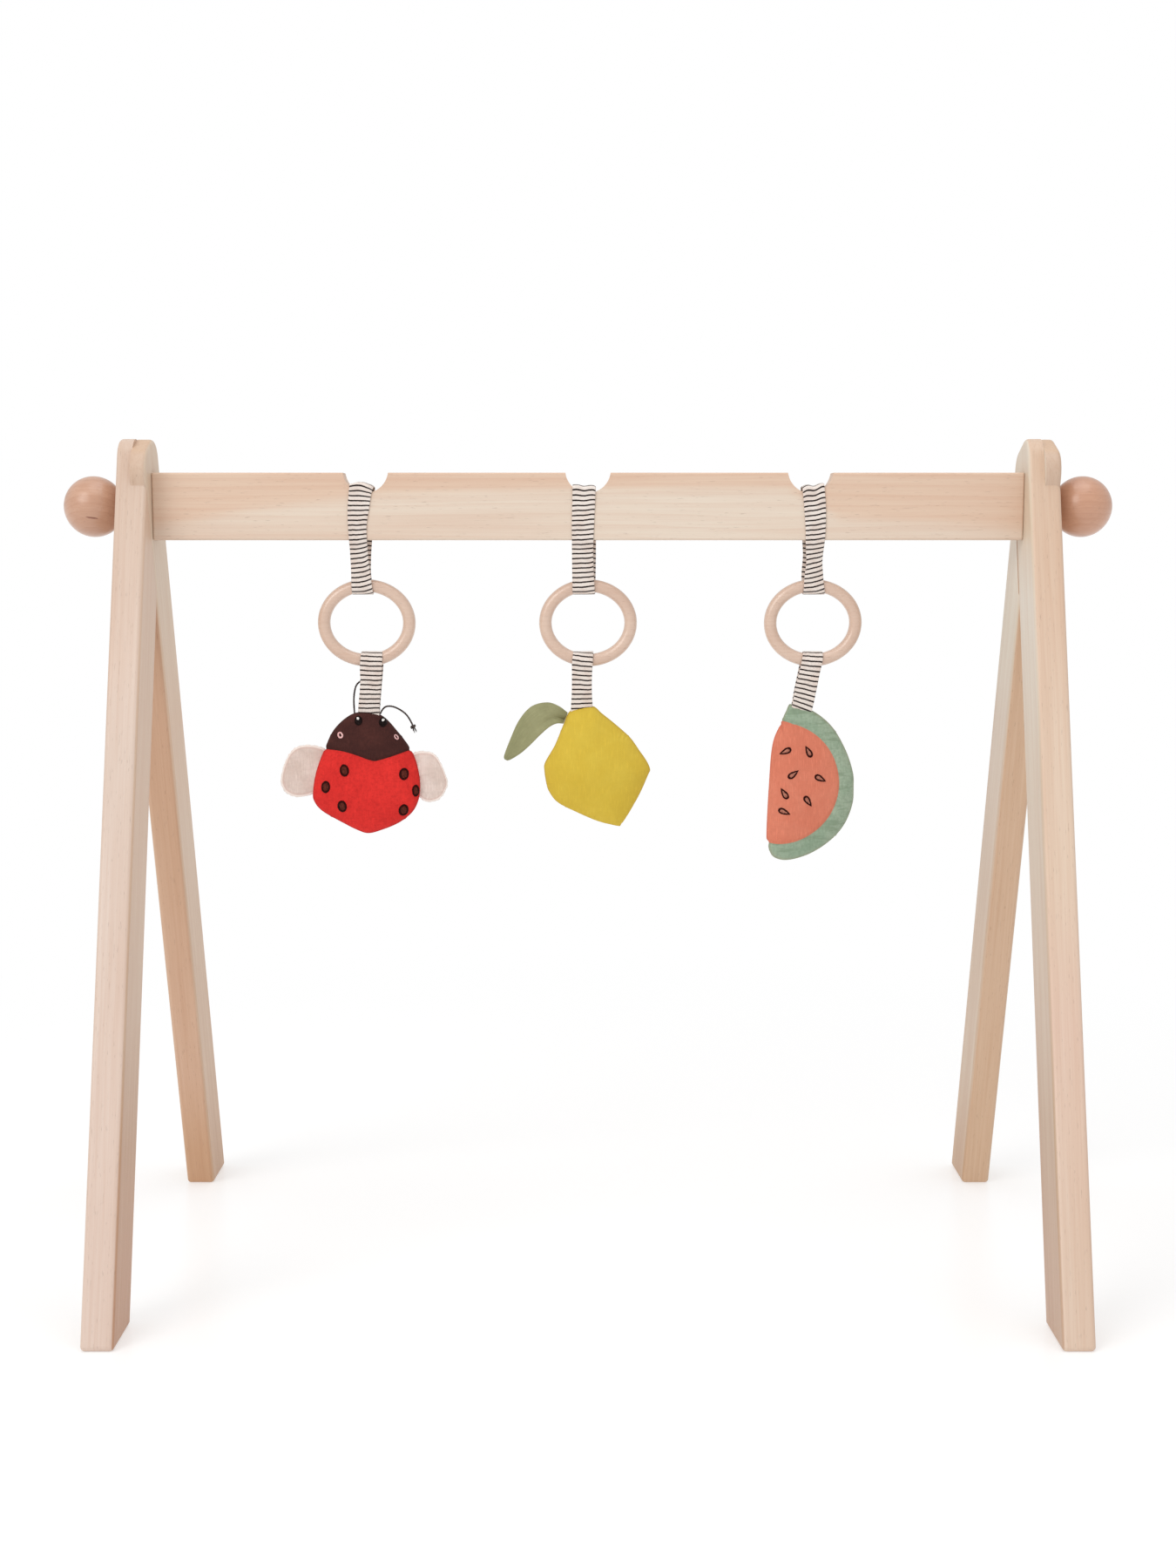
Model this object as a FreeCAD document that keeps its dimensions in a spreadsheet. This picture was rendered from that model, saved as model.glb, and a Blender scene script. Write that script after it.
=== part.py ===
"""Wooden baby activity gym: two lapped A-frames, a notched cross bar and three hanging soft toys.

Frame: +X along the cross bar, +Y from the front feet to the rear feet, +Z up. The origin is on the
floor, midway between the four feet. Lengths are in millimetres and angles in degrees.
"""
import FreeCAD, Part
import math
import os

import Sketcher

V = FreeCAD.Vector

# ---------------------------------------------------------------- driving dimensions
DIMENSIONS = {
    "frame_spacing": 638,       # between the centre planes of the two A-frames
    "leg_width": 53,
    "leg_thickness": 22,
    "leg_lean": 19.8,           # each leg from the vertical
    "crossing_height": 559,     # where the two centre lines of an A-frame cross
    "leg_reach": 30.5,          # from the crossing to the square end, along the leg
    "leg_corner": 17,           # corners of the top end
    "leg_round": 3,             # all long edges
    "bar_height": 47,
    "bar_thickness": 21,
    "bar_axis_height": 545,
    "bar_round": 1.5,
    "cove_radius": 16.1,        # notches that keep the straps in place
    "cove_rise": 2,             # cove centre above the bar's top edge
    "cove_pitch": 157,
    "stud_radius": 4,           # M8
    "stud_length": 56,
    "stud_in_bar": 19,
    "leg_hole_radius": 4.25,
    "insert_radius": 6,
    "insert_bore": 4.05,
    "bar_insert_length": 22,
    "knob_insert_length": 16,
    "dowel_radius": 4,
    "dowel_in_bar": 13,
    "dowel_in_leg": 9,
    "dowel_drop": 14,           # dowel axis below the stud axis
    "knob_radius": 21.3,
    "knob_flat": 0.6,           # depth of the flat that bears on the leg
    "running_gap": 0.1,
    "overshoot": 1,             # how far a cutting tool runs past the face it opens
    "ribbon_width": 16.5,
    "ribbon_thickness": 1.1,
    "loop_top": 515,            # upper end of the swinging part of a strap
    "loop_inset": 1,            # its outside behind the bar's front face, and so at the back
    "ring_height": 463,
    "ring_half_width": 35,
    "ring_half_height": 31,
    "ring_tube_radius": 4.5,
    "wrap_radius": 6.9,         # inside of the ribbon where it goes round a ring
    "tab_width": 15.5,
    "ladybird_depth": 30,
    "lemon_depth": 34,
    "melon_depth": 26,
    "cover_thickness": 2,
    "flap_thickness": 3,        # wings and leaf
    "antenna_diameter": 1.4,
    "antenna_knot_radius": 1.9,
}

doc = FreeCAD.newDocument("activity_gym")
sheet = doc.addObject("Spreadsheet::Sheet", "gym")
for row, (alias, value) in enumerate(DIMENSIONS.items(), start=1):
    sheet.set(f"A{row}", alias)
    sheet.set(f"B{row}", str(value))
    sheet.setAlias(f"B{row}", alias)
doc.recompute()

SIDES = {"left": -1, "right": 1}
nodes = []


def dim(alias):
    return float(sheet.get(alias))


def keep(piece, label):
    """Name a finished sub-part and put it on the list of nodes."""
    piece.Label = label
    nodes.append(piece)
    return piece


def bind(target, **formulas):
    """Bind properties to the sheet; x, y and z are the placement's base."""
    places = {"x": "Placement.Base.x", "y": "Placement.Base.y", "z": "Placement.Base.z"}
    for name, formula in formulas.items():
        target.setExpression(places.get(name, name), formula)
    return target


# ---------------------------------------------------------------- Part primitives
AXIS_TURN = {"x": FreeCAD.Rotation(V(0, 1, 0), 90), "y": FreeCAD.Rotation(V(1, 0, 0), -90)}


def box(name, **formulas):
    """Box from Length (X), Width (Y), Height (Z) and its lowest corner."""
    return bind(doc.addObject("Part::Box", name), **formulas)


def cylinder(name, axis, **formulas):
    """Cylinder that starts at its placement and runs along +X or +Y."""
    solid = doc.addObject("Part::Cylinder", name)
    solid.Placement.Rotation = AXIS_TURN[axis]
    return bind(solid, **formulas)


def boolean(kind, name, base, tool):
    piece = doc.addObject(f"Part::{kind}", name)
    piece.Base, piece.Tool = base, tool
    return piece


def cut(name, base, *tools):
    for index, tool in enumerate(tools):
        base = boolean("Cut", f"{name}_cut{index}", base, tool)
    return base


def compound(name, pieces):
    joined = doc.addObject("Part::Compound", name)
    joined.Links = pieces
    return joined


# ---------------------------------------------------------------- PartDesign helpers
START_RADIUS = 50               # of a sketch's first polygon, before its formulas apply
START_CIRCLE = (10, 5)          # height and radius of its first circle


def new_body(name):
    return doc.addObject("PartDesign::Body", name)


def new_sketch(body, name, role):
    plane = next(item for item in body.Origin.OriginFeatures if item.Role == role)
    sketch = body.newObject("Sketcher::SketchObject", name)
    sketch.AttachmentSupport = [(plane, "")]
    sketch.MapMode = "FlatFace"
    return sketch


def bound_polygon(sketch, corners):
    """Closed polygon whose corners are formulas of the sheet, fully constrained."""
    count = len(corners)
    start = [V(START_RADIUS * math.cos(math.tau * i / count),
               START_RADIUS * math.sin(math.tau * i / count), 0) for i in range(count)]
    for i in range(count):
        sketch.addGeometry(Part.LineSegment(start[i], start[(i + 1) % count]), False)
    for i in range(count):
        sketch.addConstraint(Sketcher.Constraint("Coincident", i, 2, (i + 1) % count, 1))
    for i, formulas in enumerate(corners):
        for kind, value, formula in zip(("DistanceX", "DistanceY"), start[i], formulas):
            index = sketch.addConstraint(Sketcher.Constraint(kind, -1, 1, i, 1, value))
            sketch.setExpression(f"Constraints[{index}]", formula)


def bound_circle(sketch, radius, height):
    """Circle on the sketch's vertical axis."""
    start_height, start_radius = START_CIRCLE
    sketch.addGeometry(Part.Circle(V(0, start_height, 0), V(0, 0, 1), start_radius), False)
    sketch.addConstraint(Sketcher.Constraint("PointOnObject", 0, 3, -2))
    rise = sketch.addConstraint(Sketcher.Constraint("DistanceY", -1, 1, 0, 3, start_height))
    size = sketch.addConstraint(Sketcher.Constraint("Radius", 0, start_radius))
    sketch.setExpression(f"Constraints[{rise}]", height)
    sketch.setExpression(f"Constraints[{size}]", radius)


def pad(body, sketch, length):
    feature = body.newObject("PartDesign::Pad", f"{body.Name}_pad")
    feature.Profile = sketch
    feature.SideType = "Symmetric"
    return bind(feature, Length=length)


def pocket(body, sketch, length, side="One side", backwards=True):
    feature = body.newObject("PartDesign::Pocket", f"{sketch.Name}_pocket")
    feature.Profile = sketch
    feature.SideType = side
    feature.Reversed = backwards
    return bind(feature, Length=length)


def rounded_outline(corners):
    """Edges of a closed polygon with rounded corners, from (x, z, corner radius)."""
    points = [V(x, z, 0) for x, z, _ in corners]
    ends, arcs = [], []
    for i, (_, _, radius) in enumerate(corners):
        here = points[i]
        back = (points[i - 1] - here).normalize()
        ahead = (points[(i + 1) % len(points)] - here).normalize()
        half = back.getAngle(ahead) / 2
        bisector = (back + ahead).normalize()
        first = here + back * (radius / math.tan(half))
        last = here + ahead * (radius / math.tan(half))
        middle = here + bisector * (radius / math.sin(half) - radius)
        ends.append((first, last))
        arcs.append(Part.Arc(first, middle, last))
    edges = []
    for i, arc in enumerate(arcs):
        edges += [arc, Part.LineSegment(ends[i][1], ends[(i + 1) % len(ends)][0])]
    return edges


def scaled(corners, centre, factor):
    """Corners scaled about a centre, with their radii."""
    return [(centre[0] + (x - centre[0]) * factor, centre[1] + (z - centre[1]) * factor, r * factor)
            for x, z, r in corners]


def moved(corners, at):
    return [(x + at[0], z + at[1], radius) for x, z, radius in corners]


def plate(name, corners, thickness):
    """Flat piece across Y = 0 with a rounded outline in X and Z."""
    body = new_body(name)
    sketch = new_sketch(body, f"{name}_outline", "XZ_Plane")
    sketch.addGeometry(rounded_outline(corners), False)
    pad(body, sketch, thickness)
    return body


# Stuffed pads: share of the half depth, and size of the section there.
PAD_SECTIONS = ((-1.0, 0.60), (-0.72, 0.86), (0.0, 1.0), (0.72, 0.86), (1.0, 0.60))
PAD_RADIUS = 42                  # typical half width of a toy, which turns an inset into a scale


def stuffed_pad(name, corners, centre, depth, inset):
    """Lens-shaped pad lofted through scaled outlines; a positive inset makes it smaller."""
    body = new_body(name)
    sections = []
    for index, (share, size) in enumerate(PAD_SECTIONS):
        sketch = new_sketch(body, f"{name}_section{index}", "XZ_Plane")
        factor = size * (1 - inset / PAD_RADIUS)
        sketch.addGeometry(rounded_outline(scaled(corners, centre, factor)), False)
        bind(sketch, **{"AttachmentOffset.Base.z": f"{share} * (gym.{depth} / 2 - {inset})"})
        sections.append(sketch)
    loft = body.newObject("PartDesign::AdditiveLoft", f"{name}_loft")
    loft.Profile = sections[0]
    loft.Sections = sections[1:]
    return body


# ---------------------------------------------------------------- A-frame legs
TOP_Y = "gym.leg_reach * sin(gym.leg_lean)"
TOP_Z = "gym.crossing_height + gym.leg_reach * cos(gym.leg_lean)"
HALF_ACROSS = "gym.leg_width / 2 * cos(gym.leg_lean)"
HALF_RISE = "gym.leg_width / 2 * sin(gym.leg_lean)"
FOOT_Y = "gym.crossing_height * tan(gym.leg_lean)"
FOOT_HALF = "gym.leg_width / 2 / cos(gym.leg_lean)"

LEG_OUTLINE = [
    (f"-{FOOT_Y} - {FOOT_HALF}", "0"),
    (f"-{FOOT_Y} + {FOOT_HALF}", "0"),
    (f"{TOP_Y} + {HALF_ACROSS}", f"{TOP_Z} - {HALF_RISE}"),
    (f"{TOP_Y} - {HALF_ACROSS}", f"{TOP_Z} + {HALF_RISE}"),
]


def shoulder_point(widths):
    """Point on the other leg's lower edge, a number of leg widths up from beside the crossing."""
    return (f"-{HALF_ACROSS} - {widths} * gym.leg_width * sin(gym.leg_lean)",
            f"gym.crossing_height - {HALF_RISE} + {widths} * gym.leg_width * cos(gym.leg_lean)")


SHOULDER_TOP, SHOULDER_FOOT = shoulder_point(1), shoulder_point(-2)
CLEAR_OF_LEG = "3 * gym.leg_width"
LAP_OUTLINE = [
    SHOULDER_TOP,
    SHOULDER_FOOT,
    (CLEAR_OF_LEG, SHOULDER_FOOT[1]),
    (CLEAR_OF_LEG, f"gym.crossing_height + {CLEAR_OF_LEG}"),
    (SHOULDER_TOP[0], f"gym.crossing_height + {CLEAR_OF_LEG}"),
]


def make_leg(name, takes_dowel):
    """Leg with its foot at -Y: half its thickness goes on past the shoulder, on the -X side."""
    body = new_body(name)
    outline = new_sketch(body, f"{name}_outline", "YZ_Plane")
    bound_polygon(outline, LEG_OUTLINE)
    board = pad(body, outline, "gym.leg_thickness")
    doc.recompute()
    top_edges = [f"Edge{i}" for i, edge in enumerate(board.Shape.Edges, start=1)
                 if edge.BoundBox.ZMin > dim("crossing_height") and edge.BoundBox.YLength < 0.01]
    corners = body.newObject("PartDesign::Fillet", f"{name}_corners")
    corners.Base = (board, top_edges)
    bind(corners, Radius="gym.leg_corner")
    doc.recompute()
    rounding = body.newObject("PartDesign::Fillet", f"{name}_rounding")
    rounding.Base = (corners, ["Edge1"])
    rounding.UseAllEdges = True
    bind(rounding, Radius="gym.leg_round")
    lap = new_sketch(body, f"{name}_lap", "YZ_Plane")
    bound_polygon(lap, LAP_OUTLINE)
    pocket(body, lap, "gym.leg_thickness")
    hole = new_sketch(body, f"{name}_stud_hole", "YZ_Plane")
    bound_circle(hole, "gym.leg_hole_radius", "gym.bar_axis_height")
    pocket(body, hole, "2 * gym.leg_thickness", side="Symmetric")
    if takes_dowel:
        socket = new_sketch(body, f"{name}_dowel_hole", "YZ_Plane")
        bind(socket, **{"AttachmentOffset.Base.z": "-gym.leg_thickness / 2"})
        bound_circle(socket, "gym.dowel_radius + gym.running_gap",
                     "gym.bar_axis_height - gym.dowel_drop")
        pocket(body, socket, "gym.dowel_in_leg")
    return body


for side, sign in SIDES.items():
    for place, turn in (("front", 0), ("rear", 180)):
        against_bar = (side == "right") == (place == "front")
        leg = keep(make_leg(f"leg_{place}_{side}", against_bar), f"leg_{place}_{side}")
        leg.Placement.Rotation = FreeCAD.Rotation(V(0, 0, 1), turn)
        bind(leg, x=f"{sign} * gym.frame_spacing / 2")

# ---------------------------------------------------------------- cross bar and its fittings
BAR_HALF = "(gym.frame_spacing - gym.leg_thickness) / 2"
BAR_TOP = "gym.bar_axis_height + gym.bar_height / 2"
BAR_FOOT = "gym.bar_axis_height - gym.bar_height / 2"
DOWEL_Z = "gym.bar_axis_height - gym.dowel_drop"
COVES = {"ladybird": -1, "lemon": 0, "melon": 1}


def along_x(name, sign, outer_end, length, radius, height):
    """Cylinder along X that runs inwards from its outer end, at sign * outer_end."""
    left_end = f"-({outer_end})" if sign < 0 else f"{outer_end} - ({length})"
    return cylinder(name, "x", Radius=radius, Height=length, x=left_end, z=height)


bar_blank = box("bar_blank", Length=f"2 * {BAR_HALF}", Width="gym.bar_thickness",
                Height="gym.bar_height", x=f"-{BAR_HALF}", y="-gym.bar_thickness / 2", z=BAR_FOOT)
doc.recompute()
bar_rounded = doc.addObject("Part::Fillet", "bar_rounded")
bar_rounded.Base = bar_blank
bar_rounded.Edges = [(i, dim("bar_round"), dim("bar_round")) for i in range(1, 13)]
bar_tools = [
    cylinder(f"cove_{toy}", "y", Radius="gym.cove_radius", Height="2 * gym.bar_thickness",
             x=f"{step} * gym.cove_pitch", y="-gym.bar_thickness",
             z=f"{BAR_TOP} + gym.cove_rise")
    for toy, step in COVES.items()]
for side, sign in SIDES.items():
    bar_tools.append(along_x(f"bar_insert_hole_{side}", sign, BAR_HALF,
                             "gym.bar_insert_length + 2 * gym.overshoot", "gym.insert_radius",
                             "gym.bar_axis_height"))
    bar_tools.append(along_x(f"bar_dowel_hole_{side}", sign, BAR_HALF, "gym.dowel_in_bar",
                             "gym.dowel_radius + gym.running_gap", DOWEL_Z))
keep(cut("cross_bar", bar_rounded, *bar_tools), "cross_bar")

for side, sign in SIDES.items():
    sleeve = along_x(f"bar_insert_sleeve_{side}", sign, BAR_HALF, "gym.bar_insert_length",
                     "gym.insert_radius", "gym.bar_axis_height")
    bore = along_x(f"bar_insert_bore_{side}", sign, f"{BAR_HALF} + gym.overshoot",
                   "gym.bar_insert_length + 2 * gym.overshoot", "gym.insert_bore",
                   "gym.bar_axis_height")
    keep(cut(f"bar_insert_{side}", sleeve, bore), f"bar_insert_{side}")
    dowel = along_x(f"locating_dowel_{side}", sign,
                    f"{BAR_HALF} + gym.dowel_in_leg - gym.running_gap",
                    "gym.dowel_in_leg + gym.dowel_in_bar - 2 * gym.running_gap",
                    "gym.dowel_radius", DOWEL_Z)
    keep(dowel, f"locating_dowel_{side}")

# ---------------------------------------------------------------- ball knobs
KNOB_FACE = "(gym.frame_spacing + gym.leg_thickness) / 2 + gym.running_gap"
KNOB_CENTRE = f"{KNOB_FACE} + gym.knob_radius - gym.knob_flat"

for side, sign in SIDES.items():
    ball = doc.addObject("Part::Sphere", f"ball_{side}")
    bind(ball, Radius="gym.knob_radius", x=f"{sign} * ({KNOB_CENTRE})", z="gym.bar_axis_height")
    trim = along_x(f"ball_flat_{side}", sign, KNOB_FACE, "gym.knob_radius", "gym.knob_radius",
                   "gym.bar_axis_height")
    mouth = along_x(f"ball_bore_{side}", sign, f"{KNOB_FACE} + gym.knob_insert_length",
                    "gym.knob_insert_length + gym.overshoot", "gym.insert_radius",
                    "gym.bar_axis_height")
    keep(cut(f"ball_knob_{side}", ball, trim, mouth), f"ball_knob_{side}")
    sleeve = along_x(f"knob_sleeve_{side}", sign, f"{KNOB_FACE} + gym.knob_insert_length",
                     "gym.knob_insert_length", "gym.insert_radius", "gym.bar_axis_height")
    bore = along_x(f"knob_bore_{side}", sign,
                   f"{KNOB_FACE} + gym.knob_insert_length + gym.overshoot",
                   "gym.knob_insert_length + 2 * gym.overshoot", "gym.insert_bore",
                   "gym.bar_axis_height")
    keep(cut(f"knob_insert_{side}", sleeve, bore), f"knob_insert_{side}")
    stud = along_x(f"knob_stud_{side}", sign,
                   f"{BAR_HALF} - gym.stud_in_bar + gym.stud_length", "gym.stud_length",
                   "gym.stud_radius", "gym.bar_axis_height")
    keep(stud, f"knob_stud_{side}")

# ---------------------------------------------------------------- straps and rings
# X of the strap, of the ring and of the tab, and how far the tab's foot is to one side.
HANGERS = {
    "ladybird": {"strap": -161.0, "ring": -158.5, "tab": -156.5, "foot": -158.5},
    "lemon": {"strap": -2.8, "ring": 0.0, "tab": -3.2, "foot": -4.5},
    "melon": {"strap": 160.5, "ring": 161.0, "tab": 163.5, "foot": 153.5},
}
TAB_FOOT_HEIGHT = 398
RING_TOP = "gym.ring_height + gym.ring_half_height - gym.ring_tube_radius"
RING_FOOT = "gym.ring_height - gym.ring_half_height + gym.ring_tube_radius"
PAST_BAR = "3 * gym.bar_thickness"      # length of a tool that runs past the bar front and back


def make_saddle(toy, strap_x):
    """Ribbon over the bar: down the front, across the cove and down the back."""
    outside = "(gym.bar_thickness / 2 + gym.running_gap + gym.ribbon_thickness)"
    inside = "(gym.bar_thickness / 2 + gym.running_gap)"
    cove_z = f"{BAR_TOP} + gym.cove_rise"
    cove_x = f"{COVES[toy]} * gym.cove_pitch"
    block = box(f"saddle_block_{toy}", Length="gym.ribbon_width", Width=f"2 * {outside}",
                Height="gym.bar_height + gym.cove_rise", x=f"{strap_x} - gym.ribbon_width / 2",
                y=f"-{outside}", z=BAR_FOOT)
    air = cylinder(f"saddle_air_{toy}", "y", Height=PAST_BAR, x=cove_x,
                   Radius="gym.cove_radius - gym.running_gap - gym.ribbon_thickness",
                   y=f"-{PAST_BAR} / 2", z=cove_z)
    core = box(f"saddle_core_{toy}", Length="3 * gym.ribbon_width", Width=f"2 * {inside}",
               Height="2 * gym.bar_height", x=f"{strap_x} - 1.5 * gym.ribbon_width",
               y=f"-{inside}", z=f"{BAR_FOOT} - gym.bar_height / 2")
    over = cylinder(f"saddle_over_{toy}", "y", Height=PAST_BAR, x=cove_x,
                    Radius="gym.cove_radius - gym.running_gap", y=f"-{PAST_BAR} / 2", z=cove_z)
    bar_space = cut(f"saddle_space_{toy}", core, over)
    return cut(f"strap_saddle_{toy}", block, air, bar_space)


def tangent_point(y, z, centre_z, radius):
    """Where the line from (y, z), above the circle and on its +Y side, touches the circle."""
    rise = z - centre_z
    distance = math.hypot(y, rise)
    angle = math.atan2(rise, y) - math.acos(radius / distance)
    return V(radius * math.cos(angle), centre_z + radius * math.sin(angle), 0)


def mirror_point(point):
    return V(-point.x, point.y, 0)


def make_loop(toy, strap_x):
    """Hanging part of a strap: two strands from under the bar that meet round the ring."""
    centre = dim("ring_height") + dim("ring_half_height") - dim("ring_tube_radius")
    inner, outer = dim("wrap_radius"), dim("wrap_radius") + dim("ribbon_thickness")
    top, half = dim("loop_top"), dim("bar_thickness") / 2 - dim("loop_inset")
    outer_top = V(half, top, 0)
    inner_top = V(half - dim("ribbon_thickness"), top, 0)
    outer_touch = tangent_point(outer_top.x, top, centre, outer)
    inner_touch = tangent_point(inner_top.x, top, centre, inner)
    body = new_body(f"strap_loop_{toy}")
    sketch = new_sketch(body, f"strap_loop_{toy}_profile", "YZ_Plane")
    sketch.addGeometry([
        Part.LineSegment(mirror_point(outer_top), mirror_point(outer_touch)),
        Part.Arc(mirror_point(outer_touch), V(0, centre - outer, 0), outer_touch),
        Part.LineSegment(outer_touch, outer_top),
        Part.LineSegment(outer_top, inner_top),
        Part.LineSegment(inner_top, inner_touch),
        Part.Arc(inner_touch, V(0, centre - inner, 0), mirror_point(inner_touch)),
        Part.LineSegment(mirror_point(inner_touch), mirror_point(inner_top)),
        Part.LineSegment(mirror_point(inner_top), mirror_point(outer_top)),
    ], False)
    pad(body, sketch, "gym.ribbon_width")
    return bind(body, x=str(strap_x))


def make_ring(toy, ring_x):
    """Oval wooden ring: a round section carried along an ellipse."""
    body = new_body(f"ring_{toy}")
    height = dim("ring_height")
    half_width = dim("ring_half_width") - dim("ring_tube_radius")
    half_height = dim("ring_half_height") - dim("ring_tube_radius")
    path = new_sketch(body, f"ring_{toy}_path", "XZ_Plane")
    path.addGeometry(Part.Ellipse(V(half_width, height, 0), V(0, height + half_height, 0),
                                  V(0, height, 0)), False)
    section = new_sketch(body, f"ring_{toy}_section", "YZ_Plane")
    bound_circle(section, "gym.ring_tube_radius", RING_TOP)
    sweep = body.newObject("PartDesign::AdditivePipe", f"ring_{toy}_sweep")
    sweep.Profile = section
    sweep.Spine = (path, ["Edge1"])
    return bind(body, x=str(ring_x))


def make_tab(toy, places, clearance):
    """Folded ribbon round the ring's lowest point, with both ends sewn into the toy."""
    outer = "gym.wrap_radius + gym.ribbon_thickness"
    wrap = cylinder(f"tab_wrap_{toy}", "x", Radius=outer, Height="gym.tab_width",
                    x=f"{places['tab']} - gym.tab_width / 2", z=RING_FOOT)
    inside = cylinder(f"tab_inside_{toy}", "x", Radius="gym.wrap_radius",
                      Height="2 * gym.tab_width", x=f"{places['tab']} - gym.tab_width", z=RING_FOOT)
    strip = new_body(f"tab_strip_{toy}")
    outline = new_sketch(strip, f"tab_strip_{toy}_outline", "XZ_Plane")
    bound_polygon(outline, [
        (f"{places['tab']} - gym.tab_width / 2", RING_FOOT),
        (f"{places['tab']} + gym.tab_width / 2", RING_FOOT),
        (f"{places['foot']} + gym.tab_width / 2", str(TAB_FOOT_HEIGHT)),
        (f"{places['foot']} - gym.tab_width / 2", str(TAB_FOOT_HEIGHT)),
    ])
    pad(strip, outline, "2 * gym.ribbon_thickness")
    folded = boolean("Fuse", f"tab_folded_{toy}", wrap, strip)
    return cut(f"toy_tab_{toy}", folded, inside, clearance)


# ---------------------------------------------------------------- soft toys
CAVITY_GAP = 0.4                # between a cover and its filling
CLEAR_GAP = -0.6                # a negative inset: the pad with a clearance round it
STITCH_HEIGHT = -0.5            # how far embroidery stands proud of the cover
THROUGH_TOY = 102               # length of a tool that runs past any toy front and back
OVAL_CORNERS = 8
OVAL_ROUNDING = 0.3             # corner radius as a share of the smaller half size
BEND_SHARE = 0.45               # of the shorter of two runs of a cord, taken up by their bend


def pad_family(toy, corners, centre):
    """Outer pad, cavity, filling and clearance pad of one toy, by name."""
    inset = dim("cover_thickness")
    sizes = {"outer": 0, "cavity": inset, "filling": inset + CAVITY_GAP,
             "clear": CLEAR_GAP, "stitch": STITCH_HEIGHT}
    return {part: stuffed_pad(f"{toy}_{part}", corners, centre, f"{toy}_depth", size)
            for part, size in sizes.items()}


def embroidery(label, pads, shapes):
    """Thread patches that follow the front of a cover, one solid for each shape."""
    columns = [plate(f"{label}_column{index}", corners, str(THROUGH_TOY))
               for index, corners in enumerate(shapes)]
    front = box(f"{label}_front", Length="2 * gym.frame_spacing", Width=str(THROUGH_TOY),
                Height="gym.crossing_height", x="-gym.frame_spacing", y=str(-THROUGH_TOY))
    raised = boolean("Common", f"{label}_raised", pads["stitch"],
                     compound(f"{label}_columns", columns))
    fronted = boolean("Common", f"{label}_fronted", raised, front)
    return keep(cut(label, fronted, pads["outer"]), label)


def oval(x, z, half_width, half_height, turn=0.0):
    """Many-cornered oval as a rounded outline, turned by an angle."""
    corners = []
    cosine, sine = math.cos(math.radians(turn)), math.sin(math.radians(turn))
    radius = OVAL_ROUNDING * min(half_width, half_height)
    for step in range(OVAL_CORNERS):
        angle = math.tau * (step + 0.5) / OVAL_CORNERS
        across, up = half_width * math.cos(angle), half_height * math.sin(angle)
        corners.append((x + across * cosine - up * sine, z + across * sine + up * cosine, radius))
    return corners


def cord_tube(name, points, diameter):
    """Round cord along straight runs joined by tangent arcs; prints its radii and length."""
    route = [V(*point) for point in points]
    edges, start, radii = [], route[0], []
    for before, here, after in zip(route, route[1:], route[2:]):
        back, ahead = before - here, after - here
        shorter = min(back.Length, ahead.Length)
        back.normalize()
        ahead.normalize()
        half_turn = (math.pi - back.getAngle(ahead)) / 2
        reach = BEND_SHARE * shorter
        radius = reach / math.tan(half_turn)
        bisector = (back + ahead).normalize()
        first, last = here + back * reach, here + ahead * reach
        middle = here + bisector * (radius / math.cos(half_turn) - radius)
        edges += [Part.LineSegment(start, first).toShape(), Part.Arc(first, middle, last).toShape()]
        start = last
        radii.append(round(radius, 1))
    edges.append(Part.LineSegment(start, route[-1]).toShape())
    path = Part.Wire(edges)
    section = Part.Wire([Part.Circle(route[0], route[1] - route[0], diameter / 2).toShape()])
    tube = doc.addObject("Part::Feature", name)
    tube.Shape = path.makePipeShell([section], True, True)
    expected = math.pi * diameter ** 2 / 4 * path.Length
    print(f"{name}: length {path.Length:.1f}, radii {radii}, "
          f"volume ratio {tube.Shape.Volume / expected:.4f}")
    return keep(tube, name)


LADYBIRD_AT = (-159, 404)
LADYBIRD_CENTRE = (-160, 353)
LADYBIRD_OUTLINE = moved([
    (-12, -2.6, 9), (12, -4.0, 9), (40.5, -44, 34), (39.5, -72, 16),
    (-1, -96, 22), (-44.5, -77, 15), (-39, -44, 34)], LADYBIRD_AT)
HEAD_OUTLINE = moved([
    (-70, -30.5, 1), (-32, -30.5, 1), (5, -38.5, 1), (32, -31.5, 1), (70, -31.5, 1),
    (70, 20, 1), (-70, 20, 1)], LADYBIRD_AT)
WING_OUTLINES = {
    "left": [(-24, -30, 4), (-49, -26, 10), (-64, -36, 12), (-65, -66, 13), (-34, -66, 4)],
    "right": [(24, -33, 4), (47, -30.5, 9), (59, -48, 14), (55, -72, 11), (30, -69, 4)],
}
SPOT_SIZE, EYE_SIZE, CHEEK_SIZE = (3.4, 4.2), (2.3, 2.3), (2.5, 2.5)    # half width and height
SPOTS = ((-15.9, -45.7), (-29.9, -58.0), (-18.2, -71.9), (26.6, -48.6), (34.5, -61.1), (25.7, -75))
EYES = ((-6.1, -9.6), (11.4, -10.8))
CHEEKS = ((-19.0, -20.5), (23.5, -21.6))
ANTENNAE = {
    "left": [(-168.6, 0.5, 398.0), (-171.3, 2.2, 404.8), (-171.4, 4.2, 412.2),
             (-167.6, 5.2, 419.0), (-161.2, 4.6, 422.8), (-154.6, 3.8, 422.0)],
    "right": [(-149.8, -0.5, 397.8), (-147.4, -1.2, 403.4), (-141.2, -1.8, 404.2),
              (-134.4, -2.2, 401.2), (-128.6, -2.6, 395.9), (-126.2, -3.2, 389.8)],
}


def at_ladybird(points):
    return [(x + LADYBIRD_AT[0], z + LADYBIRD_AT[1]) for x, z in points]


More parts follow.
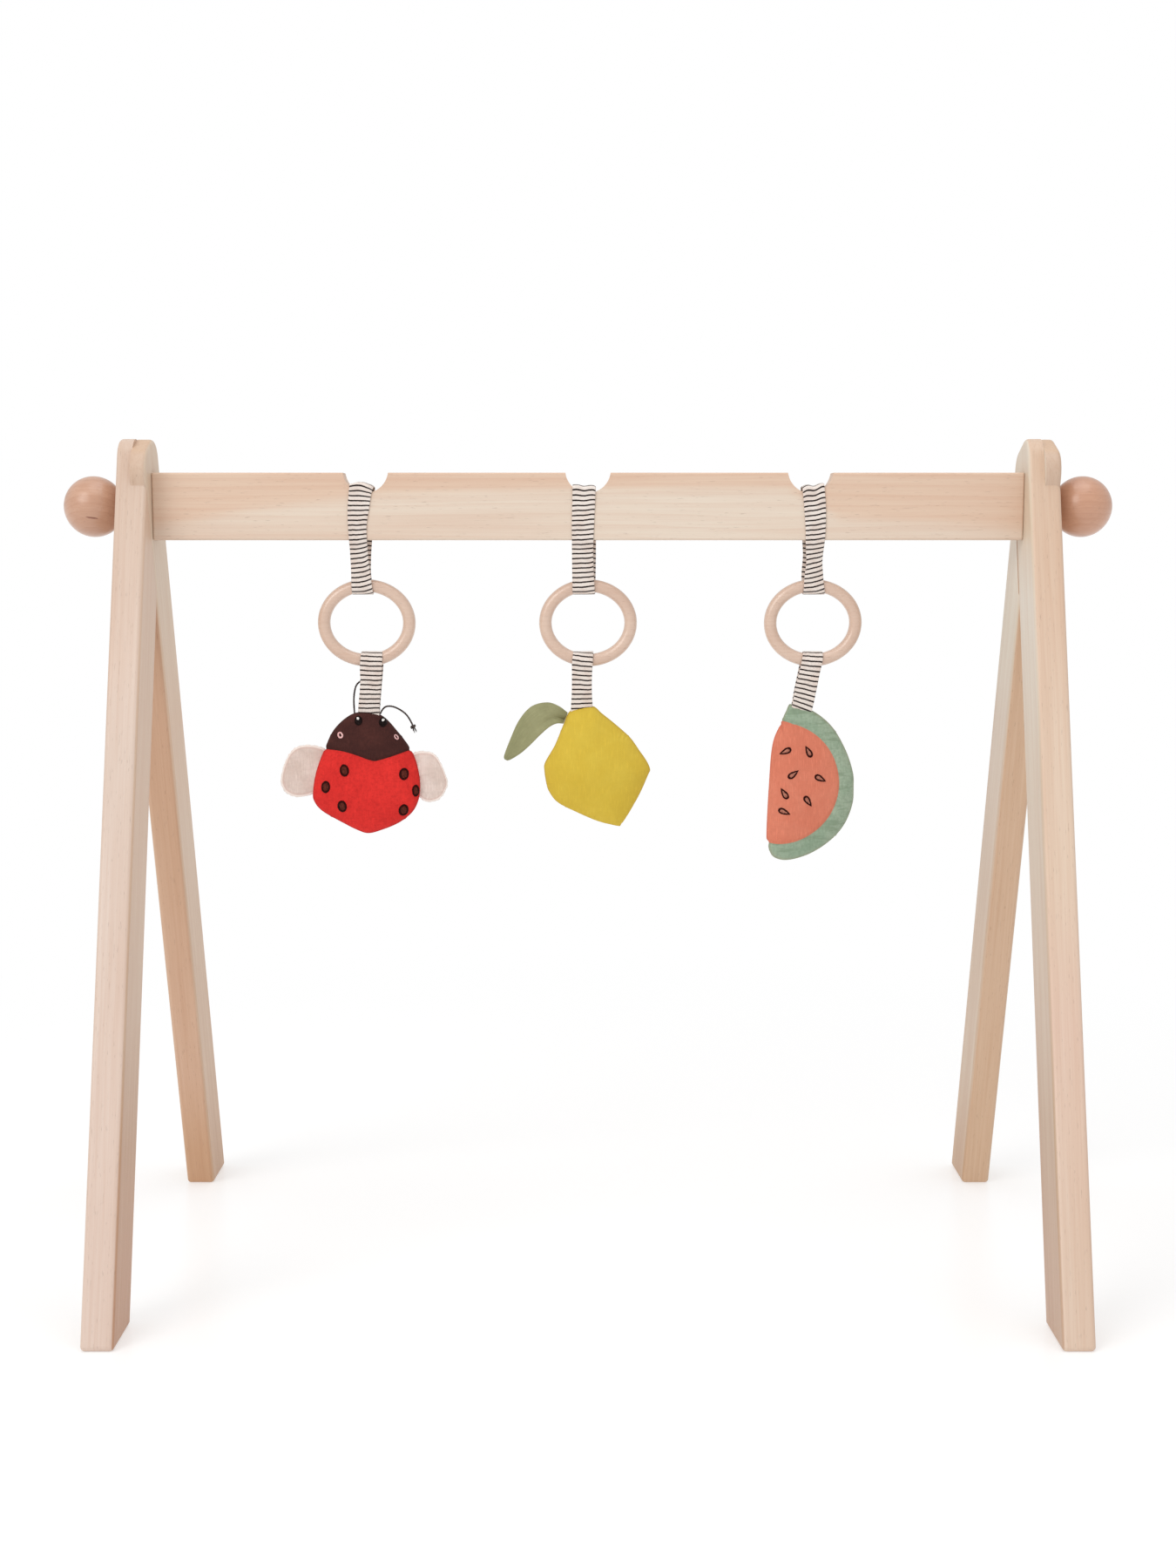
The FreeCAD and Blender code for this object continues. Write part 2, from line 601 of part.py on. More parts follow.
def make_ladybird():
    pads = pad_family("ladybird", LADYBIRD_OUTLINE, LADYBIRD_CENTRE)
    cover = cut("ladybird_cover", pads["outer"], pads["cavity"])
    head_space = plate("ladybird_head_space", HEAD_OUTLINE, str(THROUGH_TOY))
    keep(boolean("Common", "ladybird_head", cover, head_space), "ladybird_head")
    keep(boolean("Cut", "ladybird_body", cover, head_space), "ladybird_body")
    keep(pads["filling"], "ladybird_filling")
    for side, corners in WING_OUTLINES.items():
        flap = plate(f"wing_flap_{side}", moved(corners, LADYBIRD_AT), "gym.flap_thickness")
        keep(cut(f"ladybird_wing_{side}", flap, pads["clear"]), f"ladybird_wing_{side}")
    embroidery("ladybird_spots", pads, [oval(x, z, *SPOT_SIZE) for x, z in at_ladybird(SPOTS)])
    embroidery("ladybird_eyes", pads, [oval(x, z, *EYE_SIZE) for x, z in at_ladybird(EYES)])
    embroidery("ladybird_cheeks", pads, [oval(x, z, *CHEEK_SIZE) for x, z in at_ladybird(CHEEKS)])
    for side, points in ANTENNAE.items():
        cord_tube(f"antenna_{side}", points, dim("antenna_diameter"))
        knot = doc.addObject("Part::Sphere", f"antenna_knot_{side}")
        knot.Placement.Base = V(*points[-1])
        keep(bind(knot, Radius="gym.antenna_knot_radius"), f"antenna_knot_{side}")
    return pads["clear"]


LEMON_AT = (-5, 404)
LEMON_CENTRE = (5, 358)
LEMON_OUTLINE = moved([
    (9, 0.0, 5), (-10, -2.5, 5), (-15, -16, 16), (-29.5, -42, 9), (-24, -69, 18),
    (31, -91, 4), (52.5, -46, 6), (35, -20.5, 24)], LEMON_AT)
LEAF_OUTLINE = moved([
    (-6, -10, 2), (-18, -1, 7), (-30, 5.5, 12), (-47, -5, 16), (-60, -42.5, 3), (-44, -36, 20),
    (-22, -15, 10), (-7, -14, 1.5)], LEMON_AT)


def make_lemon():
    pads = pad_family("lemon", LEMON_OUTLINE, LEMON_CENTRE)
    keep(cut("lemon_cover", pads["outer"], pads["cavity"]), "lemon_cover")
    keep(pads["filling"], "lemon_filling")
    flap = plate("leaf_flap", LEAF_OUTLINE, "gym.flap_thickness")
    keep(cut("lemon_leaf", flap, pads["clear"]), "lemon_leaf")
    return pads["clear"]


MELON_AT = (153, 406)
MELON_CENTRE = (157, 348)
MELON_OUTLINE = moved([
    (-10, 1.5, 5), (15, -4, 26), (41.5, -38, 32), (42, -84, 32), (17, -112, 26),
    (-12, -119, 9), (-26, -108, 9), (-23, -60, 120), (-17, -18, 40)], MELON_AT)
FLESH_RADIUS = 44.3
FLESH_AT = (-16, -58)
SEED_SIZE = (4.0, 2.3)
SEEDS = ((-11.3, -34.3, 30), (5.2, -34.3, -60), (-5.5, -50.6, 40), (14.0, -53.7, -30),
         (-11.6, -64.7, -60), (5.4, -70.1, -60), (-11.4, -78.0, -25))


def make_melon():
    pads = pad_family("melon", MELON_OUTLINE, MELON_CENTRE)
    cover = cut("melon_cover", pads["outer"], pads["cavity"])
    flesh_space = cylinder("melon_flesh_space", "y", Height=str(THROUGH_TOY),
                           y=str(-THROUGH_TOY / 2))
    flesh_space.Radius = FLESH_RADIUS
    flesh_space.Placement.Base.x = MELON_AT[0] + FLESH_AT[0]
    flesh_space.Placement.Base.z = MELON_AT[1] + FLESH_AT[1]
    keep(boolean("Common", "melon_flesh", cover, flesh_space), "melon_flesh")
    keep(boolean("Cut", "melon_rind", cover, flesh_space), "melon_rind")
    keep(pads["filling"], "melon_filling")
    embroidery("melon_seeds", pads, [oval(x + MELON_AT[0], z + MELON_AT[1], *SEED_SIZE, turn)
                                     for x, z, turn in SEEDS])
    return pads["clear"]


TOYS = {"ladybird": make_ladybird, "lemon": make_lemon, "melon": make_melon}
for toy, make_toy in TOYS.items():
    places = HANGERS[toy]
    keep(make_saddle(toy, places["strap"]), f"strap_saddle_{toy}")
    keep(make_loop(toy, places["strap"]), f"strap_loop_{toy}")
    keep(make_ring(toy, places["ring"]), f"ring_{toy}")
    keep(make_tab(toy, places, make_toy()), f"toy_tab_{toy}")

# ---------------------------------------------------------------- check and write
doc.recompute()
faulty = [item.Label for item in doc.Objects if {"Invalid", "Error"} & set(item.State)]
bad_shapes = [piece.Label for piece in nodes
              if piece.Shape.isNull() or not piece.Shape.isValid() or not piece.Shape.Solids]
if faulty or bad_shapes:
    raise RuntimeError(f"failed objects {faulty}, bad shapes {bad_shapes}")

os.makedirs("parts", exist_ok=True)
for piece in nodes:
    piece.Shape.exportStep(f"parts/{piece.Label}.step")
print(f"{len(nodes)} sub-parts written")
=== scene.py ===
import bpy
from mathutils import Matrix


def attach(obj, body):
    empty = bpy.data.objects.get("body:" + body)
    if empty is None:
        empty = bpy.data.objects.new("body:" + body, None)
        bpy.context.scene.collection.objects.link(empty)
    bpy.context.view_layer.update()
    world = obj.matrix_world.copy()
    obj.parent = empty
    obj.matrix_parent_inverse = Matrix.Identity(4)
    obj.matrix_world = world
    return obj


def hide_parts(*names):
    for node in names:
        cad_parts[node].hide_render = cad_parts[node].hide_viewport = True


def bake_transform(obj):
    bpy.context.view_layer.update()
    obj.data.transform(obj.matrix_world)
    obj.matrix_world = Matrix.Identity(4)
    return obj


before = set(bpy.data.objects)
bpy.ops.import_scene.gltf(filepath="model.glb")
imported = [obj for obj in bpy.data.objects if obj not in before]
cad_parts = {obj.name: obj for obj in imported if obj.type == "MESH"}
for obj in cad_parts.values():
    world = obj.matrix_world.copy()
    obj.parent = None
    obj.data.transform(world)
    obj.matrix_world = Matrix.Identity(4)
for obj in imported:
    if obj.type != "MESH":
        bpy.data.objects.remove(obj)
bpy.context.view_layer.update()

import random
from itertools import product
from math import acos, atan2, cos, exp, hypot, pi, radians, sin, sqrt

import bmesh
import bpy
import numpy as np
from mathutils import Matrix, Vector, noise
from mathutils.bvhtree import BVHTree
from numpy.linalg import norm

MM = 0.001
random.seed(11)
scene = bpy.context.scene

# ---------- frame facts, in mm and degrees
LEG_LEAN = 19.8
BAR_HALF_DEPTH, BAR_FOOT = 10.5, 521.5
COVE_RADIUS, COVE_Z = 16.1, 570.5
COVE_X = {"ladybird": -157.0, "lemon": 0.0, "melon": 157.0}
RING_TOP_Z, RING_FOOT_Z = 489.5, 436.5      # centres of the ring's tube
WRAP_RADIUS = 5.95                          # ribbon's middle round the ring
RIBBON_THICKNESS, STRAP_WIDTH, TAB_WIDTH = 0.9, 16.5, 15.5
LINE_PITCH, LINE_WIDTH = 3.4, 1.1           # ribbon's stripes


def put(name, data):
    """A new object in the scene."""
    made = bpy.data.objects.new(name, data)
    scene.collection.objects.link(made)
    return made


# ---------- camera and light
CAMERA_AT, CAMERA_DOWN = (0, -1.635, 0.513), 9.0        # metres, and degrees below level
LENS, SENSOR, SHIFT_UP = 52, 36, 0.081
WORLD_LIGHT = 0.76          # the backdrop looks white and lights the object a little less
LAMPS = {                   # place, target, size in metres, watts, colour
    "key": ((-2.4, -2.9, 2.6), (0, 0, 0.35), 2.8, 56, (1, 0.99, 0.975)),
    "top": ((0.2, -0.4, 3.0), (0, 0, 0.3), 2.4, 20, (1, 1, 1)),
}


def set_camera():
    data = bpy.data.cameras.new("camera")
    data.lens, data.sensor_width, data.shift_y = LENS, SENSOR, SHIFT_UP
    scene.camera = put("camera", data)
    scene.camera.location = CAMERA_AT
    scene.camera.rotation_euler = (radians(90 - CAMERA_DOWN), 0, 0)


def set_studio():
    scene.view_settings.view_transform = "Standard"
    scene.world = fill_nodes(bpy.data.worlds.new("studio"))
    seen = node("LightPath", out="Is Camera Ray")
    fill(tree.nodes["Background"], {"Color": (1, 1, 1, 1),
                                    "Strength": remap(seen, 0.0, 1.0, WORLD_LIGHT, 1.0)})
    for name, (place, target, size, watts, colour) in LAMPS.items():
        data = bpy.data.lights.new(name, "AREA")
        data.shape, data.size, data.energy, data.color = "DISK", size, watts, colour
        lamp = put(name, data)
        lamp.location = place
        lamp.rotation_euler = (Vector(target) - Vector(place)).to_track_quat("-Z", "Y").to_euler()


# ---------- node building
tree = None                 # the node tree that is being filled


class Value:
    """A node's output. Arithmetic with it adds Math nodes."""
    def __init__(self, socket):
        self.socket = socket

    def __add__(self, other):
        return calc("ADD", self, other)

    def __sub__(self, other):
        return calc("SUBTRACT", self, other)

    def __rsub__(self, other):
        return calc("SUBTRACT", other, self)

    def __mul__(self, other):
        return calc("MULTIPLY", self, other)

    def __truediv__(self, other):
        return calc("DIVIDE", self, other)

    def __pow__(self, other):
        return calc("POWER", self, other)


def fill_nodes(owner):
    """Turns a material or world to nodes, and makes its tree the one that is filled."""
    global tree
    owner.use_nodes = True
    tree = owner.node_tree
    return owner


def fill(made, sockets):
    """Sets a node's inputs to values, or links them to outputs."""
    for key, value in sockets.items():
        if isinstance(value, Value):
            tree.links.new(value.socket, made.inputs[key])
        else:
            made.inputs[key].default_value = value


def node(kind, sockets=None, out=0, **settings):
    """One output of a new shader node with its inputs and settings."""
    made = tree.nodes.new("ShaderNode" + kind)
    for name, value in settings.items():
        setattr(made, name, value)
    fill(made, sockets or {})
    return Value(made.outputs[out])


def surface(height, distance, strength, **sockets):
    """The material's surface, with a bump. Socket names have _ for each space."""
    sockets["Normal"] = node("Bump", {"Height": height, "Distance": distance, "Strength": strength})
    fill(tree.nodes["Principled BSDF"], {key.replace("_", " "): v for key, v in sockets.items()})


def calc(operation, *values):
    return node("Math", dict(enumerate(values)), operation=operation)


def parts(vector):
    made = node("SeparateXYZ", {0: vector}).socket.node
    return [Value(socket) for socket in made.outputs]


def mix(factor, first, second, blend="MIX"):
    return node("Mix", {0: factor, 6: first, 7: second}, 2, data_type="RGBA", blend_type=blend)


def remap(value, low, high, to_low=0.0, to_high=1.0):
    return node("MapRange", {0: value, 1: low, 2: high, 3: to_low, 4: to_high},
                interpolation_type="SMOOTHSTEP")


def over(tone, colour, value, low, high, most=1.0):
    """Lays a colour over a tone where a value is high."""
    return mix(remap(value, low, high, 0.0, most), tone, colour)


def ramp(value, stops):
    """A colour that changes along a value. stops are (value, colour), lowest first."""
    low, high = stops[0][0], stops[-1][0]
    made = node("ValToRGB", {"Fac": (value - low) / (high - low)}, "Color")
    marks = made.socket.node.color_ramp.elements
    marks[0].color, marks[1].color = (*stops[0][1], 1), (*stops[-1][1], 1)
    for at, colour in stops[1:-1]:
        marks.new((at - low) / (high - low)).color = (*colour, 1)
    return made


def noisy(vector, scale, detail=2.0, rough=0.5, distortion=0.0, **mapping):
    """Noise of one scale, or of three along the axes."""
    if isinstance(scale, tuple):
        vector, scale = node("Mapping", {"Vector": vector, "Scale": scale, **mapping}), 1.0
    return node("TexNoise", {"Vector": vector, "Scale": scale, "Detail": detail,
                             "Roughness": rough, "Distortion": distortion}, "Fac")


def srgb(red, green, blue):
    """Linear colour with alpha from 0-255 display values."""
    def linear(value):
        value /= 255
        return value / 12.92 if value <= 0.04045 else ((value + 0.055) / 1.055) ** 2.4
    return (linear(red), linear(green), linear(blue), 1.0)


def times(colour, factor):
    return tuple(min(1.0, factor * c) for c in colour[:3]) + (1.0,)


# ---------- wood
PAINTED_SIDE_SHADE = (0.94, 0.87, 0.82, 1)           # painted shade on a leg's outer, back and end faces


def wood(name, light, dark, turn, seed, figure=0.5, ring_pitch=4.5, rough=0.5, pith=(40, -26),
         crack=None, inner=0, painted_inner_reflection=None, painted_shade=None, heart=None, coat=0.15):
    """Solid wood: growth rings about a pith line, fibres, pores and slow colour drift.
    turn is the rotation that lays the grain along local Z. inner is the sign of X that a leg's
    inner face looks to, and painted_inner_reflection the colour there of a painted reflection of
    the white backdrop, more towards the top. painted_shade gives the painted shade by height of
    its front face and of its inner face, mostly darker towards the feet; its other faces take the
    fixed painted shade PAINTED_SIDE_SHADE. heart is the tint of the heartwood and its lower limit
    as (x, height) points."""
    material = fill_nodes(bpy.data.materials.new(name))
    place = node("TexCoord", out="Object")
    x, _, height = parts(place)
    shift = (seed * 0.37, seed * 0.23, seed * 0.51)
    grain = node("Mapping", {"Vector": place, "Rotation": tuple(map(radians, turn)),
                             "Location": shift})
    drift = noisy(grain, (22, 22, 2.2), 3.0) - 0.5
    across, deep = (part - (pith[k] * MM + shift[k]) for k, part in enumerate(parts(grain)[:2]))
    radius = calc("SQRT", across ** 2 + deep ** 2) + drift * 0.022
    season = calc("FRACT", radius / (ring_pitch * MM))
    late = season ** 3 * remap(season, 1.0, 0.93)
    fibres = noisy(grain, (900, 900, 14), 3.0, 0.6)
    streaks = noisy(grain, (170, 170, 5))
    pores = remap(noisy(grain, (1500, 1500, 160), 1.0), 0.66, 0.78)
    blotches = noisy(grain, (30, 30, 3.2))
    tone = over(light, mix(0.35, light, dark), blotches, 0.35, 0.7)
    tone = mix(late * figure, tone, dark)
    tone = over(tone, dark, streaks, 0.45, 0.75, 0.45 * figure + 0.05)
    tone = over(tone, dark, fibres, 0.3, 0.8, 0.28)
    tone = mix(pores * 0.28, tone, times(dark, 0.45))
    looks_x, looks_y, _ = parts(node("TexCoord", out="Normal"))
    broad = remap(looks_x * inner, 0.4, 0.8)
    if painted_inner_reflection:
        # painted reflection of the white backdrop on the inner face, stronger towards the top
        tone = mix(broad * remap(height, 0.0, 0.5, 0.15, 0.72), tone, painted_inner_reflection)
        grown = remap(streaks, 0.4, 0.75, 0.0, 0.2) + remap(fibres, 0.4, 0.8, 0.0, 0.12)
        tone = mix(broad * grown, tone, dark)
    # painted shade by height on the front and inner faces, darker mostly towards the feet and
    # beside the bar's end, and a fixed painted shade on the other faces
    if painted_shade:
        tint = mix(remap(looks_y, -0.4, -0.8), PAINTED_SIDE_SHADE, ramp(height, painted_shade[0]))
        tone = mix(1.0, tone, mix(broad, tint, ramp(height, painted_shade[1])), "MULTIPLY")
    if heart:
        colour, line = heart
        above = height - ramp(x, [(at, (z, z, z)) for at, z in line]) + drift * 0.012
        tone = over(tone, mix(1.0, tone, (*colour, 1), "MULTIPLY"), above, -0.006, 0.005)
    if crack:
        tone = mix(crack_mask(place, crack), tone, srgb(132, 76, 52))
    surface(fibres + pores * -1.5, 0.00012, 0.5, Base_Color=tone,
            Roughness=remap(fibres, 0.2, 0.8, rough - 0.06, rough + 0.1), Coat_Weight=coat,
            Coat_Roughness=0.28)
    return material


def crack_mask(place, centre):
    """A short drying check, tapered at both ends, at a point in mm."""
    turn, half_length, half_width, wander = radians(-8), 0.0048, 0.00062, 0.0012
    local = node("Mapping", {"Vector": place, "Rotation": (0, turn, 0)})
    middle = Matrix.Rotation(turn, 4, "Y") @ Vector(centre) * MM
    x, y, z = parts(local)
    along = (x - middle.x) / half_length
    above = (z - middle.z - noisy(local, 260.0) * wander) / half_width
    return remap(along ** 2 + above ** 2, 1.0, 0.5) * remap(y, -0.006, -0.012)


# ---------- fabric
def weave(cut, pitch):
    """Over-and-under height of a plain weave, for a thread pitch in mm."""
    warp, weft = (calc("SINE", part * (2 * pi / (pitch * MM))) for part in parts(cut)[:2])
    return warp * weft * 0.5 + 0.5


def fabric(name, light, dark, pitch=0.8, nap=0.4, sheen=0.4, mottle=0.5, slubs=0.3, brush=None,
           prints=None, rims=()):
    """Woven cloth. nap is how far a brushed pile hides the weave; brush is a darker tone that the
    pile shows in strokes; prints is the colour of a few tiny printed dots; rims are bands along
    the sewn edge as (start, full, tone, strength), and their darker tones are painted shade where
    the cloth rounds off towards its seam."""
    material = fill_nodes(bpy.data.materials.new(name))
    cut, place = node("UVMap", uv_map="cut"), node("TexCoord", out="Object")
    wander = node("VectorMath", {0: node("TexNoise", {"Vector": cut, "Scale": 90.0}, "Color"),
                                 1: (0.0012, 0.0012, 0.0012)}, operation="MULTIPLY")
    threads = weave(node("VectorMath", {0: cut, 1: wander}, operation="ADD"), pitch)
    pile, clumps = noisy(place, 1900.0, 2.0, 0.7), noisy(place, 420.0, 3.0, 0.6)
    slub_across = noisy(cut, (1300, 120, 1), 1.0, Location=(3, 5, 0))
    tone = over(light, dark, noisy(place, 55.0, 3.0, 0.55, 0.4), 0.35, 0.65, mottle)
    tone = over(tone, dark, noisy(place, 17.0, 1.0), 0.4, 0.65, 0.3)
    tone = mix((1.0 - threads) * (0.42 * (1 - nap)), tone, times(dark, 0.55))
    tone = over(tone, dark, noisy(cut, (120, 1300, 1), 1.0), 0.5, 0.75, slubs)
    tone = over(tone, times(light, 1.25), slub_across, 0.5, 0.75, slubs)
    tone = over(tone, times(dark, 0.6), clumps, 0.42, 0.7, 0.35 * nap)
    if brush:
        stroke = noisy(place, (60, 60, 330), 3.0, 0.6, 0.5, Rotation=(0, radians(38), 0))
        tone = over(tone, brush, stroke, 0.48, 0.68, 0.7)
    if prints:
        spots = node("TexVoronoi", {"Vector": cut, "Scale": 62.0, "Randomness": 1.0}, "Distance")
        tone = over(tone, prints, spots, 0.045, 0.028)
    edge = node("Attribute", out="Fac", attribute_name="edge")
    # darker rims are painted shade where the cloth rounds off towards its seam
    for start, full, colour, strength in rims:
        tone = over(tone, colour, edge, start, full, strength)
    height = threads * (1 - nap) + pile * (0.5 + 0.9 * nap) + clumps * (1.2 * nap)
    surface(height, 0.00035, 0.6, Base_Color=tone, Roughness=0.88, Specular_IOR_Level=0.2,
            Sheen_Weight=sheen, Sheen_Roughness=0.45, Sheen_Tint=light)
    return material


def ribbon_cloth():
    """Off-white tape with thin dark woven lines across it."""
    material = fill_nodes(bpy.data.materials.new("striped_ribbon"))
    cut = node("UVMap", uv_map="cut")
    wobble = noisy(cut, (170, 60, 1), 1.0) - 0.5
    drift = noisy(cut, (900, 300, 1)) - 0.5
    along = parts(cut)[1] + wobble * 0.0008 + drift * 0.0003
    off_line = calc("ABSOLUTE", calc("FRACT", along / (LINE_PITCH * MM)) - 0.5)
    half = 0.5 * LINE_WIDTH / LINE_PITCH
    line = remap(off_line, half * 1.2, half * 0.8)
    threads = weave(cut, 0.55)
    grime = noisy(node("TexCoord", out="Object"), 130.0, 3.0)
    ground = over(srgb(244, 234, 226), srgb(228, 208, 196), grime, 0.35, 0.75, 0.6)
    ground = mix((1.0 - threads) * 0.22, ground, srgb(176, 152, 140))
    dye = over(srgb(32, 22, 20), srgb(72, 54, 47), noisy(cut, 2500.0), 0.35, 0.8, 0.5)
    surface(threads - line * 0.5, 0.00025, 0.6, Base_Color=mix(line, ground, dye),
            Roughness=0.85, Specular_IOR_Level=0.2, Sheen_Weight=0.25)
    return material


def thread_cloth(name, light, dark, gloss=0.45, shine=0.3):
    """Embroidery thread: tone varies from strand to strand, with a soft shine."""
    material = fill_nodes(bpy.data.materials.new(name))
    place = node("TexCoord", out="Object")
    ply = noisy(place, (2600, 2600, 2600), 1.0)
    tone = over(light, dark, noisy(place, 900.0, 2.0, 0.6), 0.3, 0.7)
    tone = over(tone, times(dark, 0.5), ply, 0.4, 0.7, 0.35)
    surface(ply, 0.00012, 0.5, Base_Color=tone, Roughness=gloss, Specular_IOR_Level=shine)
    return material


def metal(name, colour, rough):
    material = fill_nodes(bpy.data.materials.new(name))
    scratches = noisy(node("TexCoord", out="Object"), (90, 1400, 1400))
    surface(scratches, 0.00005, 0.4, Metallic=1.0,
            Base_Color=over(colour, times(colour, 0.6), scratches, 0.35, 0.75, 0.5),
            Roughness=remap(scratches, 0.3, 0.8, rough, rough + 0.2))
    return material


# ---------- meshes
def points_of(piece):
    return np.array([v.co for v in piece.data.vertices])


def set_points(piece, points):
    piece.data.vertices.foreach_set("co", points.ravel())
    piece.data.update()


def edges_of(piece):
    """How near each point is to the sewn edge: 1 on the seam, 0 at the middle."""
    edges = np.zeros(len(piece.data.vertices))
    if "edge" in piece.data.attributes:
        piece.data.attributes["edge"].data.foreach_get("value", edges)
    return edges


def mesh_piece(name, points, faces, material, cuts=None):
    """A mesh object from points in mm, with flat cloth coordinates per point where given."""
    data = bpy.data.meshes.new(name)
    data.from_pydata([tuple(c * MM for c in p) for p in points], [], faces)
    data.update()
    if cuts is not None:
        layer = data.uv_layers.new(name="cut")
        for loop in data.loops:
            u, v = cuts[loop.vertex_index]
            layer.data[loop.index].uv = (u * MM, v * MM)
    data.shade_smooth()
    data.materials.append(material)
    return put(name, data)


def two_panels(name, rows, columns, place, material):
    """Two panels of cloth sewn together along the rim of a grid. place(side, row, column) gives
    a point and where it is on the flat cloth."""
    points, cuts, index, faces = [], [], {}, []
    for side, i, k in product((-1, 1), range(rows + 1), range(columns + 1)):
        if side > 0 and (i in (0, rows) or k in (0, columns)):
            index[side, i, k] = index[-1, i, k]
            continue
        index[side, i, k] = len(points)
        point, cut = place(side, i, k)
        points.append(point)
        cuts.append(cut)
    for side, i, k in product((-1, 1), range(rows), range(columns)):
        quad = [index[side, a, b] for a, b in ((i, k), (i, k + 1), (i + 1, k + 1), (i + 1, k))]
        faces.append(tuple(quad if side < 0 else reversed(quad)))
    return mesh_piece(name, points, faces, material, cuts)


def applied(piece):
    """Replaces the piece's mesh with its evaluated one and drops the modifiers."""
    graph = bpy.context.evaluated_depsgraph_get()
    made = bpy.data.meshes.new_from_object(piece.evaluated_get(graph))
    piece.modifiers.clear()
    piece.data = made
    return piece


def refined(piece):
    piece.modifiers.new("smooth", "SUBSURF").levels = 1
    return applied(piece)


def smooth_loop(corners):
    """A closed Catmull-Rom curve through the corners."""
    corners = np.array(corners, float)
    count, per_side = len(corners), 10
    points = []
    for i, step in product(range(count), range(per_side)):
        a, b, c, d = (corners[(i + k) % count] for k in (-1, 0, 1, 2))
        t = step / per_side
        points.append(0.5 * (2 * b + (c - a) * t + (2 * a - 5 * b + 4 * c - d) * t * t
                             + (3 * b - a - 3 * c + d) * t ** 3))
    return np.array(points)


def tube(points, radii, sides, offset):
    """Points and faces of a capped tube along a line in mm."""
    points = np.array(points, float)
    radii = np.broadcast_to(radii, len(points))
    runs = np.gradient(points, axis=0)
    runs /= norm(runs, axis=1)[:, None] + 1e-12
    side = np.cross(runs[0], (0.31, 0.2, 0.93))
    made, faces = [], []
    for point, radius, run in zip(points, radii, runs):
        side = side - run * side.dot(run)
        side /= norm(side) + 1e-12
        up = np.cross(run, side)
        for k in range(sides):
            angle = 2 * pi * k / sides
            made.append(point + radius * (cos(angle) * side + sin(angle) * up))
    for i, k in product(range(len(points) - 1), range(sides)):
        a, b = offset + i * sides + k, offset + i * sides + (k + 1) % sides
        faces.append((a, b, b + sides, a + sides))
    last = offset + (len(points) - 1) * sides
    faces.append(tuple(range(offset + sides - 1, offset - 1, -1)))
    faces.append(tuple(range(last, last + sides)))
    return made, faces


def tubes_piece(name, lines, material, sides=6):
    """One piece of many tubes; each line is (points, radii)."""
    points, faces = [], []
    for line, radii in lines:
        more, more_faces = tube(line, radii, sides, len(points))
        points += more
        faces += more_faces
    return mesh_piece(name, points, faces, material)


def finish(piece, body, slot, *stands_for):
    """Says what the piece rides on and the CAD nodes that it stands for. slot, its finish, is not
    used.
    """
    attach(piece, body)
    if stands_for:
        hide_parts(*stands_for)
    return piece


# ---------- stuffed toys
CLOTH = {"quality": 6, "mass": 0.15, "tension_stiffness": 25, "compression_stiffness": 25,
         "shear_stiffness": 12, "bending_stiffness": 0.35, "use_pressure": True,
         "uniform_pressure_force": 4.0}
SIM_FRAMES = 20
PAD_CELLS, WING_CELLS = 52, 26      # cells across a panel before it is refined


def on_disc(a, b):
    """A point of the square from -1 to 1, moved to the unit disc, as (radius, angle)."""
    if a == 0 and b == 0:
        return 0.0, 0.0
    if abs(a) > abs(b):
        return abs(a), pi / 4 * b / a + (pi if a < 0 else 0)
    return abs(b), pi / 2 - pi / 4 * a / b + (pi if b < 0 else 0)


def wrapped(angles, radii):
    """Angles in rising order and their radii, three times round, for np.interp."""
    order = np.argsort(angles)
    angles = angles[order]
    return np.concatenate([angles - 2 * pi, angles, angles + 2 * pi]), np.tile(radii[order], 3)


def pillow(name, corners, centre, depth, cells, material):
    """A closed pad of two equal panels sewn along the outline. Each keeps its flat cloth
    coordinates, and the point attribute 'edge' is 1 on the seam and 0 at the middle."""
    outline = smooth_loop(corners) - np.array(centre)
    half = (outline.max(0) - outline.min(0)) / 2
    u, v = (outline / half).T
    around = wrapped(np.arctan2(v, u), np.hypot(u, v))
    edges = []

    def place(side, row, column):
        radius, angle = on_disc(2 * column / cells - 1, 2 * row / cells - 1)
        turn = (angle + pi) % (2 * pi) - pi
        far = radius * np.interp(turn, *around)
        x, z = centre[0] + half[0] * far * cos(turn), centre[1] + half[1] * far * sin(turn)
        rise = (1 - radius ** 2.2) ** 0.62 if radius <= 1 - 1e-6 else 0.0
        edges.append(radius)
        return (x, side * depth / 2 * rise, z), (x, z)

    piece = two_panels(name, cells, cells, place, material)
    attribute = piece.data.attributes.new("edge", "FLOAT", "POINT")
    attribute.data.foreach_set("value", edges)
    return piece


def inflate(piece, cap):
    """Lets air pressure fill the sewn cloth, then caps how far a point has moved."""
    start = points_of(piece)
    cloth = piece.modifiers.new("cloth", "CLOTH")
    for name, value in CLOTH.items():
        setattr(cloth.settings, name, value)
    cloth.settings.effector_weights.gravity = 0
    cloth.collision_settings.use_collision = False
    cloth.point_cache.frame_start, cloth.point_cache.frame_end = 1, SIM_FRAMES
    for number in range(1, SIM_FRAMES + 1):
        scene.frame_set(number)
    applied(piece)
    scene.frame_set(1)
    moved = points_of(piece) - start
    length = norm(moved, axis=1)[:, None]
    limit = cap * MM
    moved *= limit * np.tanh(length / limit) / np.maximum(length, 1e-9)
    set_points(piece, start + moved)


